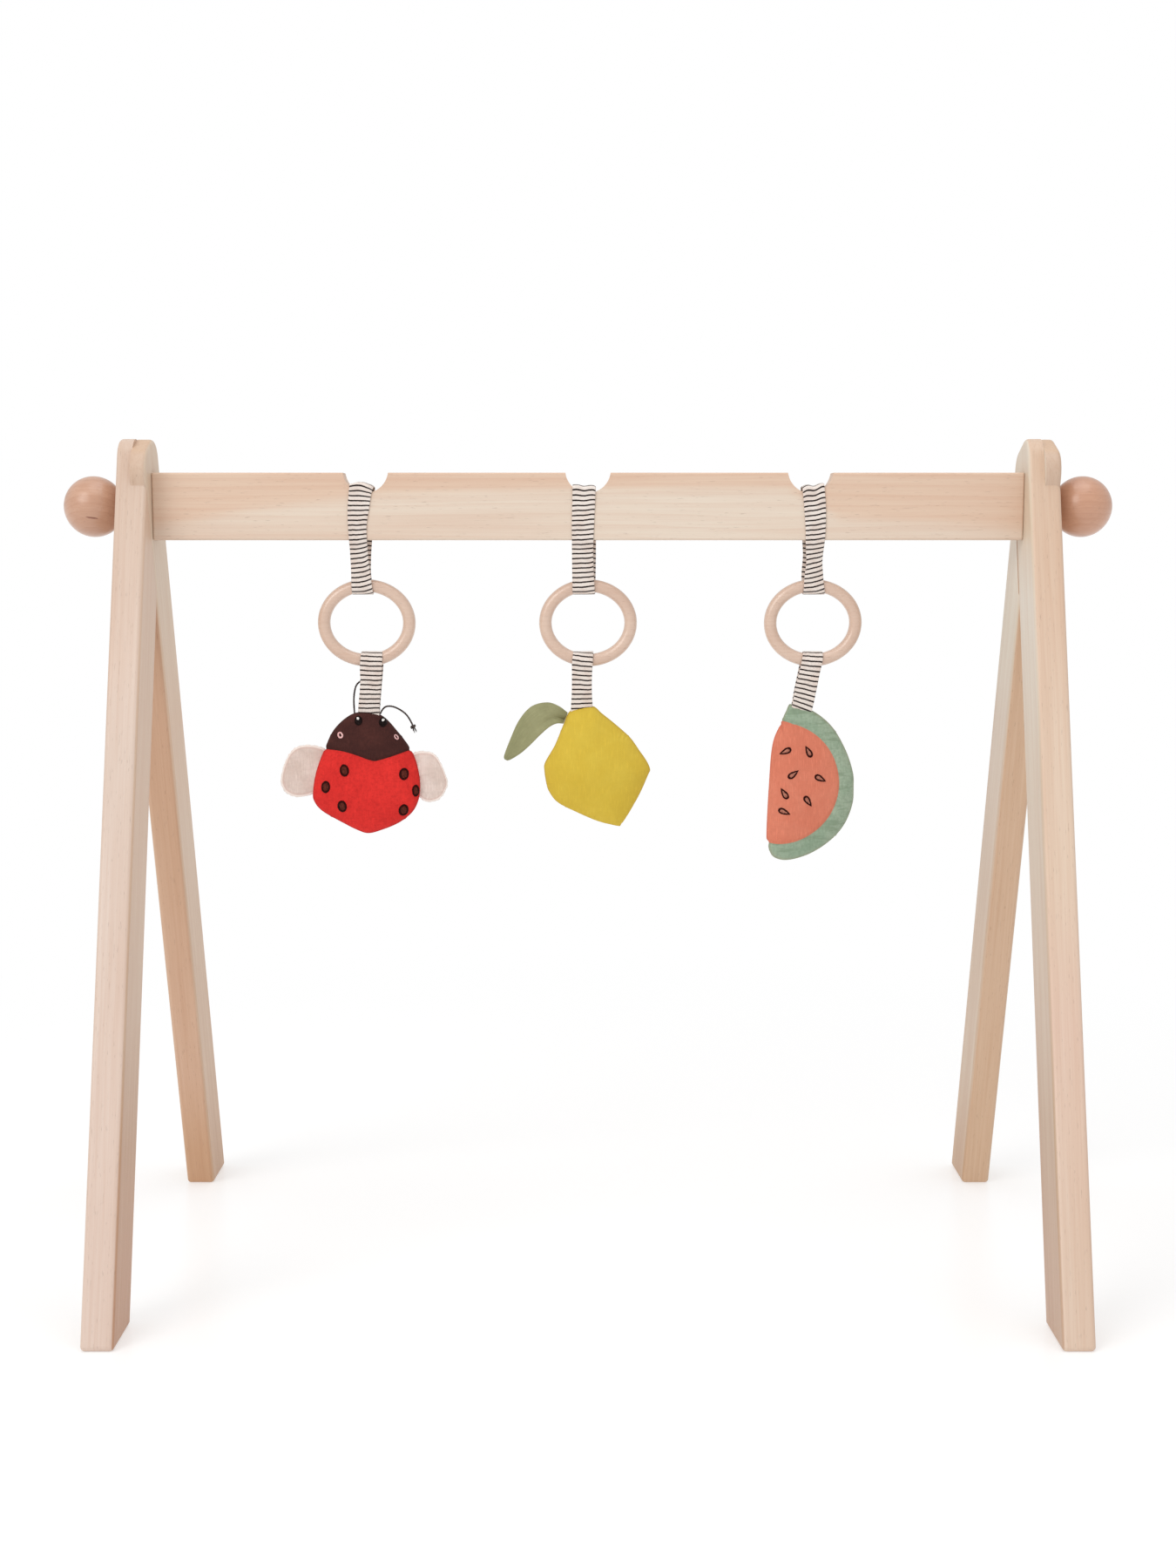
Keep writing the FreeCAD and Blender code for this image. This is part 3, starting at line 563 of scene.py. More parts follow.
def follow_outline(piece, outline, centre):
    """Moves the sewn edge back onto the measured outline, and the cloth inside it in proportion."""
    edges = edges_of(piece)
    points = points_of(piece) / MM
    away = points[:, (0, 2)] - np.array(centre)
    bins = np.linspace(-pi, pi, 361)

    def profile(flat):
        return np.interp(bins, *wrapped(np.arctan2(flat[:, 1], flat[:, 0]),
                                        np.hypot(flat[:, 0], flat[:, 1])))
    ratio = profile(outline - np.array(centre)) / profile(away[edges > 1 - 1e-6])
    turn = np.arctan2(away[:, 1], away[:, 0])
    factor = 1 + (np.interp(turn, bins, ratio) - 1) * edges ** 1.5
    points[:, (0, 2)] = np.array(centre) + away * factor[:, None]
    set_points(piece, points * MM)


def stuffed(name, corners, centre, flat_depth, half_depth, cap, material):
    """A pad under air pressure, brought to its measured outline and depth, and refined."""
    piece = pillow(name, corners, centre, flat_depth, PAD_CELLS, material)
    inflate(piece, cap)
    outline = smooth_loop(corners)
    (x0, z0), (x1, z1) = outline.min(0), outline.max(0)
    low, high = np.array((x0, -half_depth, z0)) * MM, np.array((x1, half_depth, z1)) * MM
    points = points_of(piece)
    now_low, now_high = points.min(0), points.max(0)
    set_points(piece, low + (points - now_low) * (high - low) / (now_high - now_low))
    follow_outline(piece, outline, centre)
    return refined(piece)


def shape(piece, change):
    """Moves every point by change(point, normal, edge, cut), all in mm."""
    data = piece.data
    edges = edges_of(piece).tolist()
    cuts = [None] * len(data.vertices)
    layer = data.uv_layers["cut"].data
    for loop in data.loops:
        cuts[loop.vertex_index] = layer[loop.index].uv
    moves = [change(v.co / MM, v.normal.copy(), edges[v.index], cuts[v.index] / MM)
             for v in data.vertices]
    for vertex, move in zip(data.vertices, moves):
        vertex.co += move * MM
    data.update()


def bell(distance, width):
    return exp(-(distance / width) ** 2)


def rim_and_lumps(piece, seed, lump=0.7, seam=None, seam_depth=1.1, creases=()):
    """Hand-stuffed dents, a pulled-in outer seam with small puckers, and an inner seam line.
    seam gives the distance in mm from the inner seam to a point of the flat cloth. creases are
    soft folds as (start, end, depth, half width)."""
    shift = Vector((seed * 7.1, seed * 3.3, seed * 5.9))
    groove, pucker = 0.3, 0.5
    middle = sum((v.co for v in piece.data.vertices), Vector()) / len(piece.data.vertices) / MM

    def crease_depth(cut):
        total = 0.0
        for start, end, depth, half in creases:
            run, from_start = Vector(end) - Vector(start), cut - Vector(start)
            share = max(0.0, min(1.0, from_start.dot(run) / run.length_squared))
            away = (from_start - run * share).length
            total += depth * bell(away, half) * sin(pi * (0.1 + 0.8 * share))
        return total

    def change(point, normal, edge, cut):
        big = noise.noise(point / 19 + shift) * lump
        small = noise.noise(point / 6.5 + shift) * lump * 0.28
        rise = (big + small) * (1 - edge ** 6)
        along = atan2(cut[1] - middle.z, cut[0] - middle.x)
        ripple = sin(along * 46 + 2.2 * sin(along * 7)) * noise.noise(
            Vector((cos(along), sin(along), seed)) * 3)
        rise += bell(1 - edge - 0.09, 0.06) * ripple * pucker - bell(1 - edge, 0.05) * groove
        rise -= crease_depth(cut)
        if seam:
            away = seam(cut[0], cut[1])
            fold = sin(cut[0] * 1.9 + 1.3 * sin(cut[1] * 0.4)) * noise.noise(point / 9)
            rise += 0.35 * fold * bell(abs(away) - 3.0, 2.2) - seam_depth * bell(away, 1.3)
        return normal * rise

    shape(piece, change)


def split(piece, distance, names, materials):
    """Cuts a pad along the line where distance(u, v) of its flat cloth is zero. Returns the
    piece on the negative side and the one on the positive side."""
    work = bmesh.new()
    work.from_mesh(piece.data)
    layer = work.loops.layers.uv["cut"]
    worth = {v: distance(*(v.link_loops[0][layer].uv / MM)) for v in work.verts}
    tolerance = 0.02                                # mm from the line that count as on it
    on_line = {v for v, w in worth.items() if abs(w) < tolerance}
    for link in list(work.edges):
        a, b = link.verts
        if a in on_line or b in on_line or worth[a] * worth[b] >= 0:
            continue
        _, vert = bmesh.utils.edge_split(link, a, worth[a] / (worth[a] - worth[b]))
        on_line.add(vert)
        worth[vert] = 0.0
    for face in list(work.faces):
        ends = [v for v in face.verts if v in on_line]
        if len(ends) == 2 and not any(e.other_vert(ends[0]) == ends[1]
                                      for e in ends[0].link_edges if face in e.link_faces):
            bmesh.utils.face_split(face, *ends)
    made = []
    for sign, name, material in zip((-1, 1), names, materials):
        copy = work.copy()
        uv = copy.loops.layers.uv["cut"]
        wrong = []
        for face in copy.faces:
            middle = sum((loop[uv].uv for loop in face.loops), Vector((0, 0))) / len(face.loops)
            if distance(*(middle / MM)) * sign < 0:
                wrong.append(face)
        bmesh.ops.delete(copy, geom=wrong, context="FACES")
        data = bpy.data.meshes.new(name)
        copy.to_mesh(data)
        copy.free()
        data.shade_smooth()
        data.materials.clear()
        data.materials.append(material)
        made.append(put(name, data))
    work.free()
    bpy.data.objects.remove(piece)
    return made


def surface_of(*pieces):
    """Finds the front of the cloth: a function from (x, z) in mm to a point and its normal."""
    points, faces = [], []
    for piece in pieces:
        base = len(points)
        points += [v.co.copy() for v in piece.data.vertices]
        faces += [[base + i for i in p.vertices] for p in piece.data.polygons]
    cloth = BVHTree.FromPolygons(points, faces)

    def find(x, z):
        hit, normal, _, _ = cloth.ray_cast(Vector((x * MM, -0.2, z * MM)), Vector((0, 1, 0)))
        if hit is None:
            hit, normal = cloth.find_nearest(Vector((x * MM, -0.02, z * MM)))[:2]
        return np.array(hit / MM), np.array(-normal if normal.y > 0 else normal)
    return find


# ---------- embroidery
FILL_PITCH, FILL_RADIUS = 0.42, 0.24            # threads across a shape, in mm
BORDER_PITCH, BORDER_RADIUS = 0.4, 0.25         # and round its edge
SINK, JITTER = 0.1, 0.12        # how deep a thread's ends go into the cloth, and their scatter
OVAL_STEPS = 40


def laid_stitch(find, start, end, height, radius, steps=7):
    """One thread over the cloth from start to end, arched in the middle and sunk at its ends."""
    line = []
    for i in range(steps):
        t = i / (steps - 1)
        x, z = start[0] + (end[0] - start[0]) * t, start[1] + (end[1] - start[1]) * t
        point, normal = find(x, z)
        line.append(point + normal * (height * sin(pi * t) ** 0.6 - SINK))
    return line, [radius * (0.75 if i in (0, steps - 1) else 1.0) for i in range(steps)]


def satin_fill(find, outline, turn, height=0.35):
    """Parallel threads across a closed outline, at turn degrees to X."""
    turn = radians(turn)
    along = np.array((cos(turn), sin(turn)))
    across = np.array((-along[1], along[0]))
    outline = np.array(outline)
    rows = outline @ across
    stitches = []
    for row in np.arange(rows.min() + FILL_PITCH / 2, rows.max(), FILL_PITCH):
        hits = []
        for a, b in zip(outline, np.roll(outline, -1, 0)):
            ra, rb = a @ across - row, b @ across - row
            if ra * rb < 0:
                hits.append((a + (b - a) * ra / (ra - rb)) @ along)
        if len(hits) < 2:
            continue
        jitter = random.uniform(-JITTER, JITTER)
        ends = [along * (place + jitter) + across * row for place in (min(hits), max(hits))]
        stitches.append(laid_stitch(find, *ends, height, FILL_RADIUS))
    return stitches


def satin_border(find, outline, width, height=0.5):
    """Short threads laid across the edge of an outline."""
    outline = np.array(outline)
    middle = outline.mean(0)
    walked = np.cumsum([0.0, *norm(np.roll(outline, -1, 0) - outline, axis=1)])
    closed = np.vstack([outline, outline[:1]])
    stitches = []
    for place in np.arange(0, walked[-1], BORDER_PITCH):
        point = np.array([np.interp(place, walked, closed[:, k]) for k in (0, 1)])
        inward = middle - point
        inward /= norm(inward) + 1e-9
        jitter = random.uniform(-JITTER, JITTER)
        stitches.append(laid_stitch(find, point - inward * (0.15 + jitter),
                                    point + inward * (width + jitter), height, BORDER_RADIUS, 5))
    return stitches


def oval_line(x, z, half_width, half_height, turn=0.0, point=0.0):
    """An oval about (x, z). point above 0 sharpens its first end, as on a pip."""
    turn = radians(turn)
    line = []
    for i in range(OVAL_STEPS):
        angle = 2 * pi * i / OVAL_STEPS
        u, v = half_width * cos(angle), half_height * sin(angle) * abs(sin(angle / 2)) ** point
        line.append((x + u * cos(turn) - v * sin(turn), z + u * sin(turn) + v * cos(turn)))
    return line


def embroider(toy, name, stitches, thread, slot, *stands_for):
    finish(tubes_piece(f"{toy}_{name}", stitches, thread), f"{toy}_toy", slot, *stands_for)


# ---------- ribbons
def eased(value, table):
    """A smooth curve through (position, value) pairs in rising order."""
    places = [row[0] for row in table]
    if value <= places[0]:
        return table[0][1]
    if value >= places[-1]:
        return table[-1][1]
    i = int(np.searchsorted(places, value)) - 1
    slopes = np.gradient([row[1] for row in table], places)
    gap = places[i + 1] - places[i]
    t = (value - places[i]) / gap
    a, b = table[i][1], table[i + 1][1]
    return ((2 * t ** 3 - 3 * t ** 2 + 1) * a + (t ** 3 - 2 * t ** 2 + t) * gap * slopes[i]
            + (3 * t ** 2 - 2 * t ** 3) * b + (t ** 3 - t ** 2) * gap * slopes[i + 1])


def from_table(value, table):
    """Each column of a table of (position, values...) at a position."""
    return [eased(value, [(row[0], row[k]) for row in table]) for k in range(1, len(table[0]))]


def tape(name, rows, edges, slants, material):
    """A ribbon through rows of x -> (y, z). edges gives each row's left and right end, and slants
    how far its stripes slope to the right and how far they lift at the right edge. Returns the
    piece and its length in mm."""
    columns = 12
    points, cuts, faces = [], [], []
    walked, previous = 0.0, None
    for row, (left, right), (skew, lift) in zip(rows, edges, slants):
        here = np.array(row((left + right) / 2))
        if previous is not None:
            walked += float(norm(here - previous))
        previous = here
        for k in range(columns + 1):
            share = k / columns
            x = left + (right - left) * share
            points.append((x, *row(x)))
            across = (share - 0.5) * STRAP_WIDTH
            sag = 0.15 * (1 - (2 * share - 1) ** 2)
            cuts.append((across + STRAP_WIDTH / 2,
                         walked + skew * across - lift * share ** 3 + sag))
    for i, k in product(range(len(rows) - 1), range(columns)):
        a = i * (columns + 1) + k
        faces.append((a, a + 1, a + columns + 2, a + columns + 1))
    piece = mesh_piece(name, points, faces, material, cuts)
    solid = piece.modifiers.new("cloth", "SOLIDIFY")
    solid.thickness, solid.offset = RIBBON_THICKNESS * MM, 0
    return refined(piece), walked


STRAP_EDGES = {     # rows of (height, left, right) in mm, front strand, then back strand
    "ladybird": ([(482, -168.5, -153.0), (496, -168.6, -154.5), (506, -168.7, -155.6),
                  (521, -169.2, -156.4), (532, -169.8, -156.4), (544, -169.8, -154.4),
                  (556, -168.8, -152.6), (563, -168.2, -151.2)],
                 [(482, -168.5, -153.0), (496, -168.0, -155.3), (521, -168.0, -154.8),
                  (563, -168.5, -152.0)]),
    "lemon": ([(482, -11.1, 5.1), (506, -11.4, 3.9), (521, -11.5, 3.9), (532, -11.5, 4.4),
               (559, -11.0, 5.4), (563, -11.0, 5.4)],
              [(482, -11.1, 5.1), (495, -10.6, 5.5), (521, -10.0, 5.8), (563, -10.8, 5.6)]),
    "melon": ([(482, 153.4, 169.3), (496, 154.0, 167.4), (506, 154.9, 166.6), (521, 154.0, 167.7),
               (532, 153.6, 168.2), (546, 152.4, 168.0), (559, 151.2, 166.7), (563, 151.2, 166.7)],
              [(482, 153.4, 169.3), (496, 152.9, 167.0), (510, 153.9, 167.0), (521, 153.6, 167.0),
               (563, 151.8, 166.9)]),
}
STRAP_SLANTS = {    # of the front strand: rows of (height, skew, lift)
    "ladybird": [(485, -0.02, 2.2), (515, -0.04, 1.6), (528, -0.03, 0.0), (545, 0.0, 0.0),
                 (556, 0.1, 0.6), (562, 0.14, 1.0)],
    "lemon": [(485, -0.03, 0.8), (520, -0.03, 0.3), (545, -0.06, 0.0), (562, 0.0, 0.0)],
    "melon": [(485, -0.06, 1.8), (503, -0.16, 0.8), (520, -0.06, 0.6), (545, -0.15, 0.0),
              (562, -0.1, 0.0)],
}
STRAP_CRESTS = {    # rows of (x, height) of the ribbon's top over its notch
    "ladybird": [(-168.6, 560.3), (-165.5, 561.3), (-160.8, 562.1), (-156.0, 561.0),
                 (-152.5, 559.4), (-150.6, 557.8)],
    "lemon": [(-10.8, 560.2), (-7.0, 560.3), (-3.5, 559.3), (2.0, 559.9), (5.2, 559.2),
              (6.0, 558.4)],
    "melon": [(151.3, 558.6), (154.5, 560.1), (159.5, 559.2), (165.4, 561.3), (168.75, 560.6)],
}
RIPPLES = {"ladybird": 0.3, "lemon": 0.9, "melon": 1.7}
BEND = 2.2                              # radius of the ribbon's turn onto the bar's top
CREST_Z = 563.0                         # where the tables are read over the bar's top
HANG_ROWS, FLAT_ROWS, BEND_ROWS, TOP_ROWS = 16, 19, 5, 6        # of one side
FREE_Z = 515.0                          # the loop's two sides hang apart up to here


def round_tube(first, last, z, steps):
    """Points (y, z) of the ribbon round the ring's tube, between two angles."""
    angles = [first + (last - first) * i / steps for i in range(steps + 1)]
    return [(WRAP_RADIUS * cos(a), z + WRAP_RADIUS * sin(a)) for a in angles]


def strap(toy, material):
    """One ribbon loop: round the ring, up the bar's front, over its notch and down its back."""
    ripple, centre = RIPPLES[toy], COVE_X[toy]
    out = BAR_HALF_DEPTH + 0.15 + RIBBON_THICKNESS / 2
    out_top = out + 0.45
    foot = BAR_FOOT + 1.0

    def on_top(x):
        reach = COVE_RADIUS - 0.15 - RIBBON_THICKNESS / 2
        away = min(abs(x - centre), reach * 0.95)
        crest = eased(x, STRAP_CRESTS[toy]) - RIBBON_THICKNESS / 2
        return max(crest, COVE_Z - sqrt(reach ** 2 - away ** 2))

    def hang_row(y, z, side):
        def row(x):
            share = (x - centre) / 8
            body = sin(pi * max(0.0, min(1.0, (z - 486) / 34)))
            wave = 0.45 * sin(0.35 * z + ripple + share) * body
            return side * (y + wave - 0.5 * share * share * body), z
        return row

    def flat_row(share, side):
        level = foot + (flat_top - foot) * share

        def row(x):
            z = level + (on_top(x) - BEND - flat_top) * share ** 4
            bulge = 0.12 * (1 + sin(0.5 * z + x + ripple)) * (1 - share) + 0.45 * share ** 5
            return side * (out + bulge), z
        return row

    def bend_row(angle, side):
        return lambda x: (side * (out_top - BEND + BEND * cos(angle)),
                          on_top(x) - BEND + BEND * sin(angle))

    def top_row(y):
        wrinkle = 0.2 * (1 - (y / out) ** 2)
        return lambda x: (y, on_top(x) + wrinkle * (1 + sin(0.9 * x + 0.4 * y + ripple)))

    flat_top = on_top(sum(from_table(560, STRAP_EDGES[toy][0])) / 2) - BEND
    hang_y = BAR_HALF_DEPTH - 1.5
    rise = FREE_Z - RING_TOP_Z
    touch = atan2(rise, hang_y) - acos(WRAP_RADIUS / hypot(rise, hang_y))
    half = round_tube(-pi / 2, touch, RING_TOP_Z, 10)     # (y, z) from the ring's lowest point up
    y0, z0 = half[-1]
    half += [(y0 + (hang_y - y0) * i / HANG_ROWS, z0 + (FREE_Z - z0) * i / HANG_ROWS)
             for i in range(1, HANG_ROWS + 1)]
    half += [(hang_y + 0.7, FREE_Z + 2.6), (out - 0.35, FREE_Z + 5.0)]

    def strand(side):
        """(row, height in the tables, side) from the ring's lowest point to the notch's middle."""
        rows = [(hang_row(y, z, side), z, side) for y, z in half]
        rows += [(flat_row(i / FLAT_ROWS, side), foot + (flat_top - foot) * i / FLAT_ROWS, side)
                 for i in range(FLAT_ROWS + 1)]
        rows += [(bend_row(pi / 2 * i / BEND_ROWS, side), CREST_Z - 3.0 + 0.6 * i, side)
                 for i in range(1, BEND_ROWS + 1)]
        over_notch = np.linspace(side * (out_top - BEND), 0, TOP_ROWS + 1)[1:]
        return rows + [(top_row(y), CREST_Z, side) for y in over_notch]
    chain = strand(-1) + strand(1)[-2::-1]
    edges = [from_table(z, STRAP_EDGES[toy][0 if side < 0 else 1]) for _, z, side in chain]
    slants = [from_table(z if side < 0 else CREST_Z, STRAP_SLANTS[toy]) for _, z, side in chain]
    piece, walked = tape(f"strap_{toy}", [row for row, _, _ in chain], edges, slants, material)
    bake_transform(piece)
    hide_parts(f"strap_saddle_{toy}", f"strap_loop_{toy}")
    round(walked * MM, 3)


TAB_EDGES = {       # rows of (height, left, right)
    "ladybird": [(392, -165.8, -150.4), (402, -165.4, -149.9), (412, -164.3, -149.2),
                 (421, -163.4, -148.4), (431, -163.5, -147.5), (444, -162.4, -147.1)],
    "lemon": [(392, -12.6, 3.6), (404, -12.3, 3.4), (412, -11.8, 2.9), (425, -11.6, 2.9),
              (434, -11.6, 3.4), (444, -10.5, 4.0)],
    "melon": [(392, 143.6, 159.2), (404, 146.6, 162.0), (417, 149.0, 164.4), (429, 151.5, 166.5),
              (436, 152.9, 168.0), (444, 154.2, 168.3)],
}
TAB_SLANTS = {      # rows of (height, skew, lift)
    "ladybird": [(394, 0.0, 0.4), (417, 0.02, 0.0), (444, 0.06, 0.0)],
    "lemon": [(394, -0.1, 0.0), (417, 0.02, 0.0), (444, 0.14, 0.0)],
    "melon": [(394, 0.42, 0.0), (417, 0.2, 0.0), (444, 0.03, 0.0)],
}
TAB_FOOT_Y, TAB_FOOT_Z = 1.3, 394.0     # inside the toy


def tab(toy, material):
    """Ribbon folded over the ring's lowest point, both ends sewn into the toy."""
    rise = TAB_FOOT_Z - RING_FOOT_Z
    touch = atan2(rise, TAB_FOOT_Y) + acos(WRAP_RADIUS / hypot(rise, TAB_FOOT_Y))
    fold = round_tube(touch, pi / 2, RING_FOOT_Z, 12)
    y1, z1 = fold[0]
    steps = 21
    half = []                                       # (y, z) of one side from the toy to the fold
    for i in range(steps + 1):
        t = i / steps
        half.append((TAB_FOOT_Y + (y1 - TAB_FOOT_Y) * t + 0.5 * sin(pi * t),
                     TAB_FOOT_Z + (z1 - TAB_FOOT_Z) * t))
    half += fold[1:]
    chain = [(-y, z) for y, z in half] + half[-2::-1]

    def wavy_row(y, z):
        return lambda x: (y + 0.2 * sin(0.5 * z + 0.4 * x), z)
    piece, walked = tape(f"tab_{toy}", [wavy_row(y, z) for y, z in chain],
                         *([from_table(z, table[toy]) for _, z in chain]
                           for table in (TAB_EDGES, TAB_SLANTS)), material)
    finish(piece, f"{toy}_toy", "striped_ribbon", f"toy_tab_{toy}")
    round(walked * MM, 3)


# ---------- antennae
ANTENNAE = {
    "left": [(-168.3, 0.5, 398.0), (-169.0, 2.2, 404.8), (-168.9, 4.2, 412.2),
             (-167.2, 5.2, 419.4), (-161.2, 4.6, 422.6), (-154.6, 3.8, 421.8)],
    "right": [(-149.8, -0.5, 397.8), (-147.6, -1.2, 403.0), (-141.6, -1.8, 404.0),
              (-134.6, -2.2, 401.0), (-128.8, -2.6, 395.9), (-126.2, -3.2, 389.8)],
}
ANTENNA_DIAMETER, PLIES, TWIST_LENGTH = 1.4, 3, 4.2
CORD_STEPS = 90
KNOT_SIZE, KNOT_TUBE, TAIL_FIBRES = 0.55, 0.7, 22


def cord_line(points):
    """Dense points of the NURBS line whose control points are the route's points."""
    data = bpy.data.curves.new("route", "CURVE")
    data.dimensions = "3D"
    spline = data.splines.new("NURBS")
    spline.points.add(len(points) - 1)
    for place, point in zip(spline.points, points):
        place.co = (*[c * MM for c in point], 1)
    spline.order_u = 3
    spline.use_endpoint_u = True
    spline.resolution_u = 24
    route = put("route", data)
    graph = bpy.context.evaluated_depsgraph_get()
    line = bpy.data.meshes.new_from_object(route.evaluated_get(graph))
    dense = np.array([v.co for v in line.vertices]) / MM
    bpy.data.objects.remove(route)
    walked = np.cumsum([0.0, *norm(np.diff(dense, axis=0), axis=1)])
    even = np.linspace(0, walked[-1], CORD_STEPS)
    return np.array([np.interp(even, walked, dense[:, k]) for k in range(3)]).T, walked[-1]


def antenna(side, material):
    line, length = cord_line(ANTENNAE[side])
    runs = np.gradient(line, axis=0)
    runs /= norm(runs, axis=1)[:, None]
    first = np.cross(runs, (0, 1, 0.05))
    first /= norm(first, axis=1)[:, None]
    second = np.cross(runs, first)
    walk = np.linspace(0, length, CORD_STEPS)
    plies = []
    for ply in range(PLIES):
        angle = 2 * pi * (ply / PLIES + walk / TWIST_LENGTH)[:, None]
        strand = line + 0.23 * ANTENNA_DIAMETER * (np.cos(angle) * first + np.sin(angle) * second)
        plies.append((strand, 0.27 * ANTENNA_DIAMETER))
    piece = finish(tubes_piece(f"antenna_{side}_cord", plies, material), "ladybird_toy",
                   "antenna_cord", f"antenna_{side}")
    knot = finish(knot_piece(f"antenna_{side}_knot", line[-1], runs[-1], material),
                  "ladybird_toy", "antenna_cord", f"antenna_knot_{side}")


def knot_piece(name, at, run, material):
    """An overhand knot in the cord with a short frayed tail."""
    side = np.cross(run, (0, 1, 0.1))
    side /= norm(side)
    up = np.cross(run, side)
    knot = []
    for t in np.linspace(0, 2 * pi, 48):
        a, b, c = sin(t) + 2 * sin(2 * t), cos(t) - 2 * cos(2 * t), -sin(3 * t)
        knot.append(at + run * (0.9 + KNOT_SIZE * c) + side * KNOT_SIZE * a + up * KNOT_SIZE * b)
    lines = [(knot, KNOT_TUBE)]
    for _ in range(TAIL_FIBRES):
        spread = random.uniform(-1.4, 1.4), random.uniform(-1.1, 1.1)
        reach = random.uniform(2.8, 5.0)
        fibre = [at + run * (0.6 + reach * t) + (side * spread[0] + up * spread[1]) * t ** 0.7
                 for t in (0, 0.35, 0.7, 1.0)]
        lines.append((fibre, [0.24, 0.2, 0.16, 0.08]))
    return tubes_piece(name, lines, material, 5)


# ---------- materials
set_camera()
set_studio()

# The pads' darker rims, and the wing's darker pink band inside its edge, are painted shade.
red = fabric("red_fabric", srgb(226, 51, 46), srgb(200, 38, 36), nap=0.85, sheen=0.35, mottle=0.5,
             rims=[(0.93, 0.99, srgb(168, 34, 32), 0.7)])
brown = fabric("brown_fabric", srgb(76, 40, 35), srgb(56, 28, 26), nap=0.8, sheen=0.12, mottle=0.6)
yellow = fabric("yellow_fabric", srgb(226, 197, 76), srgb(215, 180, 58), pitch=0.7, nap=0.15,
                sheen=0.15, mottle=0.4, slubs=0.18, rims=[(0.94, 0.99, srgb(186, 150, 48), 0.6)])
leaf_green = fabric("leaf_fabric", srgb(168, 166, 126), srgb(146, 146, 106), pitch=0.7, nap=0.2,
                    sheen=0.15, mottle=0.6)
coral = fabric("coral_fabric", srgb(226, 138, 112), srgb(216, 120, 94), pitch=0.7, nap=0.3,
               sheen=0.2, mottle=0.5, rims=[(0.94, 0.99, srgb(206, 104, 80), 0.6)])
sage = fabric("sage_fabric", srgb(160, 176, 154), srgb(140, 162, 138), nap=0.9, sheen=0.4,
              mottle=0.9, brush=srgb(128, 146, 122), rims=[(0.93, 0.99, srgb(150, 146, 122), 0.6)])
wing_cloth = fabric("wing_fabric", srgb(234, 216, 207), srgb(218, 197, 186), pitch=0.7, nap=0.5,
                    sheen=0.3, mottle=0.9, prints=srgb(130, 90, 92),
                    rims=[(0.8, 0.87, srgb(216, 186, 176), 0.55),
                          (0.88, 0.92, srgb(244, 232, 224), 0.9)])
ribbon = ribbon_cloth()
brown_thread = thread_cloth("brown_thread", srgb(116, 54, 42), srgb(84, 34, 26), shine=0.1)
dark_thread = thread_cloth("dark_thread", srgb(58, 8, 4), srgb(34, 3, 2), shine=0.1)
black_thread = thread_cloth("eye_thread", srgb(24, 5, 4), srgb(12, 3, 2), shine=0.16)
white_thread = thread_cloth("glint_thread", srgb(255, 253, 250), srgb(244, 238, 232), 0.35)
pink_thread = thread_cloth("pink_thread", srgb(252, 216, 212), srgb(232, 172, 172))
seed_thread = thread_cloth("seed_thread", srgb(206, 142, 120), srgb(168, 104, 86), shine=0.15)
cord_thread = thread_cloth("antenna_cord", srgb(84, 70, 66), srgb(48, 38, 36), 0.6)

UPRIGHT_LEFT, UPRIGHT_RIGHT, CROSSWISE = (LEG_LEAN, 0, 0), (-LEG_LEAN, 0, 0), (0, -90, 0)
